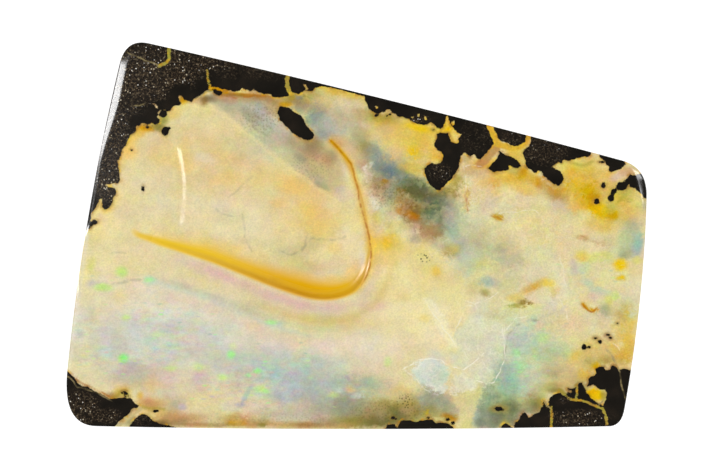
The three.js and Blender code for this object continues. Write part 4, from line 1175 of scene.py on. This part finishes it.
# soft ovals where flecks of fire, a broken seam, dark specks and pale filigree show
textures = {
    "fire": [
        (145, 345, 90, 50, 1.0), (250, 372, 90, 45, 0.9), (525, 360, 34, 42, 0.55), (110, 285, 45, 20, 0.6),
        (590, 278, 40, 30, 0.6), (330, 390, 46, 22, 0.8), (545, 330, 34, 16, 0.7), (200, 320, 60, 16, 0.4),
    ],
    "busy": [
        (545, 225, 110, 75, 0.9), (420, 190, 70, 55, 1.0), (560, 320, 90, 60, 0.8), (300, 395, 110, 35, 0.45),
        (420, 400, 70, 30, 0.7), (330, 110, 60, 30, 0.6), (270, 125, 45, 30, 0.5), (500, 390, 40, 40, 0.8),
    ],
    "specks": [
        (424, 258, 8, 4.5, 1.0), (405, 403, 9, 9, 0.8), (150, 124, 14, 5, 0.5), (388, 412, 40, 12, 0.35),
        (300, 420, 60, 7, 0.18), (220, 421, 50, 6, 0.15), (392, 196, 24, 16, 0.3), (262, 118, 24, 16, 0.3),
        (312, 166, 24, 14, 0.22),
    ],
    "frost": [
        (480, 345, 27, 32, 0.7), (430, 376, 19, 16, 0.8), (466, 386, 14, 8, 0.6), (552, 298, 18, 14, 0.5),
        (472, 190, 14, 22, 0.5), (264, 124, 24, 16, 0.3), (418, 118, 14, 6, 0.8), (440, 250, 26, 16, 0.4),
        (372, 168, 8, 14, 0.5), (545, 240, 40, 20, 0.3),
    ],
}
fire, busy, specks, frost = (ovalShare(places, ovals) for ovals in textures.values())
paintings = {
    name: paintOpal(paintPlaces, iron, inside, lipPlaces, busy, seed)
    for name, seed in (("paint", 0), ("overpaint", 300))
}
lineFields = {name: lineMarks(places, group) for name, group in lines.items()}
lipWidth, lipShare, lipDark = lipGlow(lipPlaces)
print("opal painted")

# how ground each point is: the face not at all, the rim more and more, the wall and back fully
ground = np.ones(len(points))
ground[:faceCount] = 0
rimShares = smoothStep(66, 90, np.array(stone["rimAngles"], dtype=float))
rimEnd = faceCount + len(rimShares) * surface["ringCount"]
ground[faceCount:rimEnd] = np.repeat(rimShares, surface["ringCount"])


# the bake's picture, 1 wide and 1 high
bake = {
    "margin": 0.01,
    "width": 0.98,
    "faceFoot": 0.335,
    "wallTop": 0.325,
    "wallHeight": 0.11,
    "backFoot": 0.005,
    "backHeight": 0.2,
    "rimRows": 5,  # these rows lie flat round the face
}


# places in the bake's picture: the face and rim flat, the wall as a strip, the back small beside it
def bakePlaces():
    low, high = points[:, :2].min(axis=0), points[:, :2].max(axis=0)
    margin, width, rimRows = bake["margin"], bake["width"], bake["rimRows"]
    flat = (points[:, :2] - low) * (width / (high - low)[0]) + (margin, bake["faceFoot"])
    small = (points[:, :2] - low) * (bake["backHeight"] / (high - low)[1]) + (margin, bake["backFoot"])
    quads = surface["quads"]
    count = surface["ringCount"]
    rows = surface["rowCount"]
    uvs = [flat[quads[0]].reshape(-1, 2)]
    for row in range(rows):
        if row < rimRows:
            uvs.append(flat[quads[1 + row]].reshape(-1, 2))
            continue
        along = margin + width * (np.arange(count)[:, None] + np.array([0, 0, 1, 1])) / count
        depth = row - rimRows + np.array([0, 1, 1, 0])
        down = bake["wallTop"] - bake["wallHeight"] * depth / (rows - rimRows)
        uvs.append(np.stack([along, np.broadcast_to(down, along.shape)], axis=-1).reshape(-1, 2))
    uvs.append(small[quads[-1]].reshape(-1, 2))
    uvs.append(small[surface["stitch"]].reshape(-1, 2))
    return np.vstack(uvs)


# the mesh: points, faces, the bake's places and the markings as attributes
def makeStone():
    mesh = bpy.data.meshes.new("polished_opal")
    corners = np.vstack(surface["quads"])
    stitch = surface["stitch"]
    placed = (points + shift) * mm
    mesh.from_pydata(placed.tolist(), [], corners.tolist() + stitch.tolist())
    mesh.polygons.foreach_set("use_smooth", np.ones(len(mesh.polygons), dtype=bool))
    uvLayer = mesh.uv_layers.new(name="OFBake")
    uvLayer.data.foreach_set("uv", bakePlaces().astype(np.float32).ravel())
    for name, colours in paintings.items():
        rgba = np.column_stack([colours, np.ones(len(points))]).astype(np.float32)
        paint = mesh.color_attributes.new(name, "FLOAT_COLOR", "POINT")
        paint.data.foreach_set("color", rgba.ravel())
    scale = photo["pixelSize"]
    marks = {"iron": iron * scale, "patches": patches * scale, "grain": grain, "ground": ground}
    marks |= {"fire": fire, "busy": busy, "specks": specks, "frost": frost}
    marks |= {"lip": inside * scale, "lipWidth": lipWidth * scale, "lipShare": lipShare, "lipDark": lipDark}
    for name, (beside, share) in lineFields.items():
        marks[name + "Line"] = beside * scale
        marks[name + "Share"] = share
    for name, values in marks.items():
        attribute = mesh.attributes.new(name, "FLOAT", "POINT")
        attribute.data.foreach_set("value", values.astype(np.float32))
    mesh.update()
    piece = bpy.data.objects.new("polished_opal", mesh)
    bpy.context.scene.collection.objects.link(piece)
    return piece


# adds a node with its settings, plain values and links, all by name or number
def addNode(tree, kind, settings=(), values=(), links=()):
    node = tree.nodes.new(kind)
    for name, value in dict(settings).items():
        setattr(node, name, value)
    for name, value in dict(values).items():
        node.inputs[name].default_value = value
    for name, output in dict(links).items():
        tree.links.new(output, node.inputs[name])
    return node


# a calculation of one or two numbers
def calculate(tree, operation, first, second=0.0):
    node = addNode(tree, "ShaderNodeMath", {"operation": operation})
    for index, value in enumerate((first, second)):
        if isinstance(value, (int, float)):
            node.inputs[index].default_value = value
        else:
            tree.links.new(value, node.inputs[index])
    return node.outputs[0]


# a value carried from one range to another, straight or S-shaped
def remap(tree, value, low, high, toLow=0.0, toHigh=1.0, kind="SMOOTHSTEP"):
    node = addNode(
        tree,
        "ShaderNodeMapRange",
        {"interpolation_type": kind},
        {"From Min": low, "From Max": high, "To Min": toLow, "To Max": toHigh},
        {"Value": value},
    )
    return node.outputs["Result"]


# one colour mixed over another by a share
def mixColours(tree, share, under, over, blend="MIX"):
    node = addNode(tree, "ShaderNodeMix", {"data_type": "RGBA", "blend_type": blend})
    for index, value in ((0, share), (6, under), (7, over)):
        if isinstance(value, (int, float, tuple)):
            node.inputs[index].default_value = value
        else:
            tree.links.new(value, node.inputs[index])
    return node.outputs[2]


# a screen colour for a node: the light of its three parts, with full cover
def screenColour(red, green, blue):
    return (*asLight((red, green, blue)).tolist(), 1.0)


# a ramp of screen colours at their stops
def colourRamp(tree, value, stops, interpolation="LINEAR"):
    node = addNode(tree, "ShaderNodeValToRGB", links={"Fac": value})
    ramp = node.color_ramp
    ramp.interpolation = interpolation
    while len(ramp.elements) < len(stops):
        ramp.elements.new(0.5)
    for element, (position, colour) in zip(ramp.elements, stops):
        element.position = position
        element.color = screenColour(*colour)
    return node.outputs["Color"]


# the finish of opal and ironstone; scales are cells per millimetre, lengths are millimetres
opalFinish = {
    "mottleScale": 0.9,
    "mottleDepth": 0.085,
    "weaveScale": 3.6,
    "tintScale": 0.6,
    "tintShare": 0.26,
    "tintContrast": 0.8,
    "unrest": (0.85, 1.05),  # strength of clouds and tints where the seam is whole and where it is broken up
    "saturation": 1.05,
    "dustScale": 9.0,
    "dustDepth": 0.1,
    "shimmerScale": 2.1,
    "shimmerShare": 0.44,
    "driftScale": 0.35,
    "fleckScale": 3.0,
    "fleckStretch": (0.6, 1.5, 1.0),
    "fleckTurn": 8,
    "fleckShare": 0.7,
    "lineHalfWidths": {"grey": 0.09, "pale": 0.04, "rust": 0.07, "thread": 0.05},
    "lineWander": {"grey": 0.1, "pale": 0.1, "rust": 0.04, "thread": 0.06},
    "speckScale": 5.2,
    "filigreeScale": 0.8,
    "filigreeShare": 0.4,
    "fringeWidth": 0.22,
    "fringeShare": 0.7,
    "fringeScale": 3.2,
    "grainScale": 7.0,
    # scale, rarity and screen colour of single pale grains
    "chips": ((6.5, 0.87, (192, 180, 154)), (9.0, 0.89, (142, 120, 92)), (7.5, 0.93, (236, 232, 222))),
    "edgeScale": 4.6,
    "edgeRoughness": 0.1,
    "opalRoughness": 0.09,
    "grainRoughness": 0.12,
    "groundRoughness": 0.5,
    "lipMatt": 0.5,  # the lip's steep inside is this much as rough as the ground parts
    "grainRelief": 0.3,
    "bumpStrength": 0.06,
    "bumpDepth": 0.04,
    "refraction": 1.46,
}


# the stone's material: layers of opal mixed one over another, and ironstone where its mark is above 0
def makeStoneMaterial():
    material = bpy.data.materials.new("boulder_opal")
    material.use_nodes = True
    tree = material.node_tree
    shader = tree.nodes["Principled BSDF"]
    coordinates = addNode(tree, "ShaderNodeTexCoord").outputs["Object"]
    spot = addNode(
        tree, "ShaderNodeMapping", values={"Scale": (1 / mm,) * 3}, links={"Vector": coordinates}
    ).outputs[0]

    # a marking of the mesh, read back as a value or a colour
    def attribute(name, output="Fac"):
        return addNode(tree, "ShaderNodeAttribute", {"attribute_name": name}).outputs[output]

    # layers of noise over the stone, each finer than the one before
    def noise(scale, detail=2.0, vector=spot, roughness=0.5):
        return addNode(
            tree,
            "ShaderNodeTexNoise",
            values={"Scale": scale, "Detail": detail, "Roughness": roughness},
            links={"Vector": vector},
        )

    # one value times the other
    def product(first, second):
        return calculate(tree, "MULTIPLY", first, second)

    ironMark, grainMark, fireMark, groundMark, busyMark, lipMark = (
        attribute(name) for name in ("iron", "grain", "fire", "ground", "busy", "lip")
    )

    # opal: the painted colour, clouded in lightness and tint, more so where the seam is broken up
    unrest = remap(tree, busyMark, 0, 1, *opalFinish["unrest"], "LINEAR")
    mottle = noise(opalFinish["mottleScale"], 6.0, roughness=0.65).outputs["Fac"]
    cloud = remap(tree, mottle, 0.3, 0.7, -1, 1, "LINEAR")
    powder = noise(opalFinish["dustScale"], 2.0, roughness=0.6).outputs["Fac"]
    dust = remap(tree, powder, 0.3, 0.7, -1, 1, "LINEAR")
    light = calculate(tree, "ADD", 1.0, product(product(cloud, unrest), opalFinish["mottleDepth"]))
    light = calculate(tree, "ADD", light, product(product(dust, unrest), opalFinish["dustDepth"]))
    tint = addNode(
        tree,
        "ShaderNodeBrightContrast",
        values={"Contrast": opalFinish["tintContrast"]},
        links={"Color": noise(opalFinish["tintScale"], 3.6, roughness=0.8).outputs["Color"]},
    ).outputs["Color"]
    weave = remap(tree, noise(opalFinish["weaveScale"], 5.0, roughness=0.65).outputs["Fac"], 0.45, 0.55)
    opal = mixColours(tree, weave, attribute("paint", "Color"), attribute("overpaint", "Color"))
    opal = mixColours(tree, product(unrest, opalFinish["tintShare"]), opal, tint, "OVERLAY")
    opal = addNode(
        tree,
        "ShaderNodeHueSaturation",
        values={"Saturation": opalFinish["saturation"]},
        links={"Color": opal, "Value": light},
    ).outputs["Color"]

    # fire: a fine shimmer of all colours, and sideways cells, some of them lit in a colour of their own
    fleckTurn = math.radians(opalFinish["fleckTurn"])
    turned = addNode(
        tree,
        "ShaderNodeMapping",
        values={"Scale": opalFinish["fleckStretch"], "Rotation": (0, 0, fleckTurn)},
        links={"Vector": spot},
    ).outputs[0]
    shimmer = noise(opalFinish["shimmerScale"], 2.0, turned, 0.45).outputs["Color"]
    drifts = remap(tree, noise(opalFinish["driftScale"], 2.0).outputs["Fac"], 0.38, 0.62, 0.3, 1.0)
    alive = product(fireMark, drifts)
    opal = mixColours(tree, product(alive, opalFinish["shimmerShare"]), opal, shimmer, "OVERLAY")
    cells = addNode(
        tree,
        "ShaderNodeTexVoronoi",
        {"voronoi_dimensions": "2D"},
        {"Scale": opalFinish["fleckScale"], "Randomness": 1.0},
        {"Vector": turned},
    )
    picked = addNode(tree, "ShaderNodeSeparateColor", links={"Color": cells.outputs["Color"]})
    fleckColour = colourRamp(
        tree,
        picked.outputs[0],
        [(0, opalColours["mint"]), (0.3, opalColours["lime"]), (0.45, opalColours["fern"]),
         (0.6, opalColours["rose"]), (0.75, opalColours["violet"]), (0.9, opalColours["aqua"])],
        "CONSTANT",
    )
    lit = remap(tree, picked.outputs[1], 0.72, 0.95)
    body = remap(tree, cells.outputs["Distance"], 0.45, 0.1)
    fleckShare = product(product(lit, body), product(alive, opalFinish["fleckShare"]))
    opal = mixColours(tree, fleckShare, opal, fleckColour)

    # the ochre inside of the lip, crisp at its edge and fading inwards, with a darker line along it
    within = remap(tree, lipMark, -0.24, 0.04)
    reach = calculate(tree, "DIVIDE", lipMark, attribute("lipWidth"))
    glow = product(within, attribute("lipShare"))
    deep = product(remap(tree, lipMark, -0.04, 0.04), remap(tree, lipMark, 0.45, 0.05))
    deep = product(deep, attribute("lipDark"))
    bright, plain, dark = (screenColour(*opalColours[colour]) for colour in ("saffron", "ochre", "amber"))
    inner = mixColours(tree, remap(tree, attribute("lipDark"), 0.1, 0.7), bright, plain)
    opal = mixColours(tree, product(glow, remap(tree, reach, 0.98, 0.36)), opal, inner)
    opal = mixColours(tree, deep, opal, dark)

    # thin lines that wander a little and are broken up along their length
    wander = remap(tree, noise(1.3, 3.0).outputs["Fac"], 0.25, 0.75, -1, 1, "LINEAR")
    broken = remap(tree, noise(2.2, 3.0).outputs["Fac"], 0.36, 0.58, 0.15, 1.0)

    # lines over a colour: each falls off from its core to its half width, times its strength there
    def drawLines(under, name, colour):
        halfWidth = opalFinish["lineHalfWidths"][name]
        sway = product(wander, opalFinish["lineWander"][name])
        moved = calculate(tree, "ADD", attribute(name + "Line"), sway)
        core = remap(tree, calculate(tree, "ABSOLUTE", moved), halfWidth * 1.6, halfWidth * 0.2)
        share = product(product(core, broken), attribute(name + "Share"))
        return mixColours(tree, share, under, screenColour(*opalColours[colour]))

    for name, colour in (("grey", "smoke"), ("pale", "pearl"), ("rust", "rust")):
        opal = drawLines(opal, name, colour)

    # dark specks: some of the cells of a fine pattern, each a dot
    dots = addNode(
        tree,
        "ShaderNodeTexVoronoi",
        {"voronoi_dimensions": "2D"},
        {"Scale": opalFinish["speckScale"]},
        {"Vector": spot},
    )
    pick = addNode(tree, "ShaderNodeSeparateColor", links={"Color": dots.outputs["Color"]}).outputs[0]
    dot = product(remap(tree, pick, 0.25, 0.3), remap(tree, dots.outputs["Distance"], 0.4, 0.16))
    opal = mixColours(tree, product(dot, attribute("specks")), opal, screenColour(*opalColours["moss"]))

    # pale filigree: thin lines where a noise crosses its middle value
    veil = noise(opalFinish["filigreeScale"], 4.0).outputs["Fac"]
    crossing = calculate(tree, "ABSOLUTE", calculate(tree, "SUBTRACT", veil, 0.5))
    filigree = remap(tree, crossing, 0.014, 0.003, 0, opalFinish["filigreeShare"])
    opal = mixColours(tree, product(filigree, attribute("frost")), opal, screenColour(*opalColours["pearl"]))

    # a stained fringe on the opal's side of the border
    fringe = remap(tree, attribute("patches"), -opalFinish["fringeWidth"], -0.03)
    stains = noise(opalFinish["fringeScale"], 3.0).outputs["Fac"]
    fringe = product(fringe, remap(tree, stains, 0.46, 0.62, 0, opalFinish["fringeShare"]))
    fringeColour = colourRamp(
        tree,
        noise(1.2, 2.0).outputs["Fac"],
        [(0.38, opalColours["gold"]), (0.5, opalColours["amber"]), (0.62, opalColours["umber"])],
    )
    opal = mixColours(tree, fringe, opal, fringeColour)

    # ironstone: black where it is smooth, with brown, tan and pale grains where it is coarse
    smoothIron = colourRamp(
        tree, noise(0.9, 3.0).outputs["Fac"], [(0.3, (17, 14, 9)), (0.55, (25, 21, 15)), (0.75, (36, 29, 21))]
    )
    grains = noise(opalFinish["grainScale"], 2.0, roughness=0.75).outputs["Fac"]
    grainColour = colourRamp(
        tree,
        grains,
        [(0.41, (20, 15, 10)), (0.52, (48, 38, 27)), (0.62, (80, 67, 50)), (0.74, (160, 147, 120))],
    )
    patchy = remap(tree, noise(1.1, 2.0).outputs["Fac"], 0.3, 0.65, 0.55, 1.0)
    iron = mixColours(tree, product(grainMark, patchy), smoothIron, grainColour)
    for scale, rarity, colour in opalFinish["chips"]:
        chips = addNode(tree, "ShaderNodeTexVoronoi", values={"Scale": scale}, links={"Vector": spot})
        pick = addNode(tree, "ShaderNodeSeparateColor", links={"Color": chips.outputs["Color"]}).outputs[0]
        rare = remap(tree, pick, rarity, rarity + 0.02)
        chip = product(rare, remap(tree, chips.outputs["Distance"], 0.36, 0.2))
        iron = mixColours(tree, product(chip, remap(tree, grainMark, 0.3, 0.9)), iron, screenColour(*colour))

    # the border between them, roughened by noise
    border = noise(opalFinish["edgeScale"], 3.0).outputs["Fac"]
    halfWaver = opalFinish["edgeRoughness"] / 2
    waver = remap(tree, border, 0.25, 0.75, -halfWaver, halfWaver, "LINEAR")
    isIron = remap(tree, calculate(tree, "ADD", ironMark, waver), -0.03, 0.03)
    whole = drawLines(mixColours(tree, isIron, opal, iron), "thread", "thread")
    tree.links.new(whole, shader.inputs["Base Color"])

    # gloss: polished, a little duller on the grains, matt where the stone is ground and inside the lip
    coarseness = product(isIron, grainMark)
    gloss = remap(tree, coarseness, 0, 1, opalFinish["opalRoughness"], opalFinish["grainRoughness"], "LINEAR")
    lipSlope = remap(tree, lipMark, 1.0, 0.5, 0, opalFinish["lipMatt"])
    matt = calculate(tree, "MAXIMUM", groundMark, product(glow, lipSlope))
    rough = product(matt, opalFinish["groundRoughness"] - opalFinish["opalRoughness"])
    tree.links.new(calculate(tree, "ADD", gloss, rough), shader.inputs["Roughness"])
    relief = product(product(grains, coarseness), opalFinish["grainRelief"])
    relief = calculate(tree, "ADD", relief, product(groundMark, noise(3.0, 4.0).outputs["Fac"]))
    bump = addNode(
        tree,
        "ShaderNodeBump",
        values={"Strength": opalFinish["bumpStrength"], "Distance": opalFinish["bumpDepth"] * mm},
        links={"Height": relief},
    )
    tree.links.new(bump.outputs["Normal"], shader.inputs["Normal"])
    shader.inputs["IOR"].default_value = opalFinish["refraction"]
    return material


piece = makeStone()
piece.data.materials.append(makeStoneMaterial())
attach(piece, "root")
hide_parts("opal_stone")
print("stone made with", len(piece.data.polygons), "faces")

# floor, lamps and camera
studio = {
    "floorHalf": 1.5,  # metres, as are the other lengths without a note
    "floorSteps": 4,
    "floorDrop": 0.02,  # millimetres, so that the floor and the back never share a plane
    "floorColour": (0.4, 0.4, 0.4, 1),
    "floorGlow": 0.85,
    "world": 0.12,
    "cameraHeight": 0.6,
    # bearing from +X, elevation, distance, size and brightness of each soft light; each faces the stone
    "softLights": {
        "near": (-90, 35, 0.8, (0.5, 0.5), 3.6),
        "far": (90, 35, 0.8, (0.5, 0.5), 3.2),
        "right": (0, 35, 0.8, (0.5, 0.5), 3.4),
        "left": (180, 35, 0.8, (0.5, 0.5), 3.6),
    },
    # narrow bright strips that show only as glints, while the soft lights never do
    "glints": {
        "leftEdge": (165.3, 39, 0.6, (0.055, 0.62), 27.0),
        "farRightCorner": (22, 38, 0.6, (0.1, 0.4), 13.0),
        "ridge": (181, 69.9, 0.9, (0.06, 0.07), 12.0),
    },
}


# the floor: a flat square whose points are every pair of two lists of steps
def makeFloor():
    half, count = studio["floorHalf"], studio["floorSteps"]
    steps = np.linspace(-half, half, count + 1)
    x, y = np.meshgrid(steps, steps)
    corners = np.column_stack([x.ravel(), y.ravel(), np.full(x.size, -studio["floorDrop"] * mm)])
    quads, _ = gridFaces((count, count), 0)
    mesh = bpy.data.meshes.new("floor")
    mesh.from_pydata(corners.tolist(), [], quads.tolist())
    floor = bpy.data.objects.new("floor", mesh)
    bpy.context.scene.collection.objects.link(floor)
    material = bpy.data.materials.new("pale_floor")
    material.use_nodes = True
    shader = material.node_tree.nodes["Principled BSDF"]
    shader.inputs["Base Color"].default_value = studio["floorColour"]
    shader.inputs["Roughness"].default_value = 0.9
    shader.inputs["Specular IOR Level"].default_value = 0.1
    shader.inputs["Emission Color"].default_value = (1, 1, 1, 1)
    shader.inputs["Emission Strength"].default_value = studio["floorGlow"]
    mesh.materials.append(material)


# a flat lamp that faces the stone from its bearing, elevation and distance;
# its power is brightness times area times pi
def makeLight(name, bearing, elevation, distance, size, brightness):
    light = bpy.data.lights.new(name, "AREA")
    light.shape = "RECTANGLE"
    light.size, light.size_y = size
    light.energy = brightness * size[0] * size[1] * math.pi
    lamp = bpy.data.objects.new(name, light)
    turn, rise = math.radians(bearing), math.radians(elevation)
    towards = (math.cos(turn) * math.cos(rise), math.sin(turn) * math.cos(rise), math.sin(rise))
    lamp.location = np.array(towards) * distance
    lamp.rotation_euler = (math.pi / 2 - rise, 0, turn + math.pi / 2)
    lamp.visible_camera = False
    bpy.context.scene.collection.objects.link(lamp)
    return lamp


# floor, lamps, an even sky and a camera whose lens is its sensor times its height over the width seen
def makeStudio():
    scene = bpy.context.scene
    makeFloor()
    for name, settings in studio["softLights"].items():
        makeLight(name, *settings).visible_glossy = False
    for name, settings in studio["glints"].items():
        makeLight(name, *settings).visible_diffuse = False
    world = bpy.data.worlds.new("studio")
    world.use_nodes = True
    world.node_tree.nodes["Background"].inputs["Color"].default_value = (1, 1, 1, 1)
    world.node_tree.nodes["Background"].inputs["Strength"].default_value = studio["world"]
    scene.world = world
    scene.view_settings.view_transform = "Standard"

    # straight above the photograph's middle, with a lens that takes in its width at the top of the stone
    scale = photo["pixelSize"] * mm
    middleX = (photo["width"] / 2 - photo["origin"][0]) * scale + shift[0] * mm
    middleY = (photo["origin"][1] - photo["height"] / 2) * scale + shift[1] * mm
    camera = bpy.data.cameras.new("camera")
    camera.sensor_width = 36
    camera.lens = camera.sensor_width * studio["cameraHeight"] / (photo["width"] * scale)
    eye = bpy.data.objects.new("camera", camera)
    eye.location = (middleX, middleY, studio["cameraHeight"] + stone["thickness"] * mm)
    scene.collection.objects.link(eye)
    scene.camera = eye


makeStudio()
print("studio set")
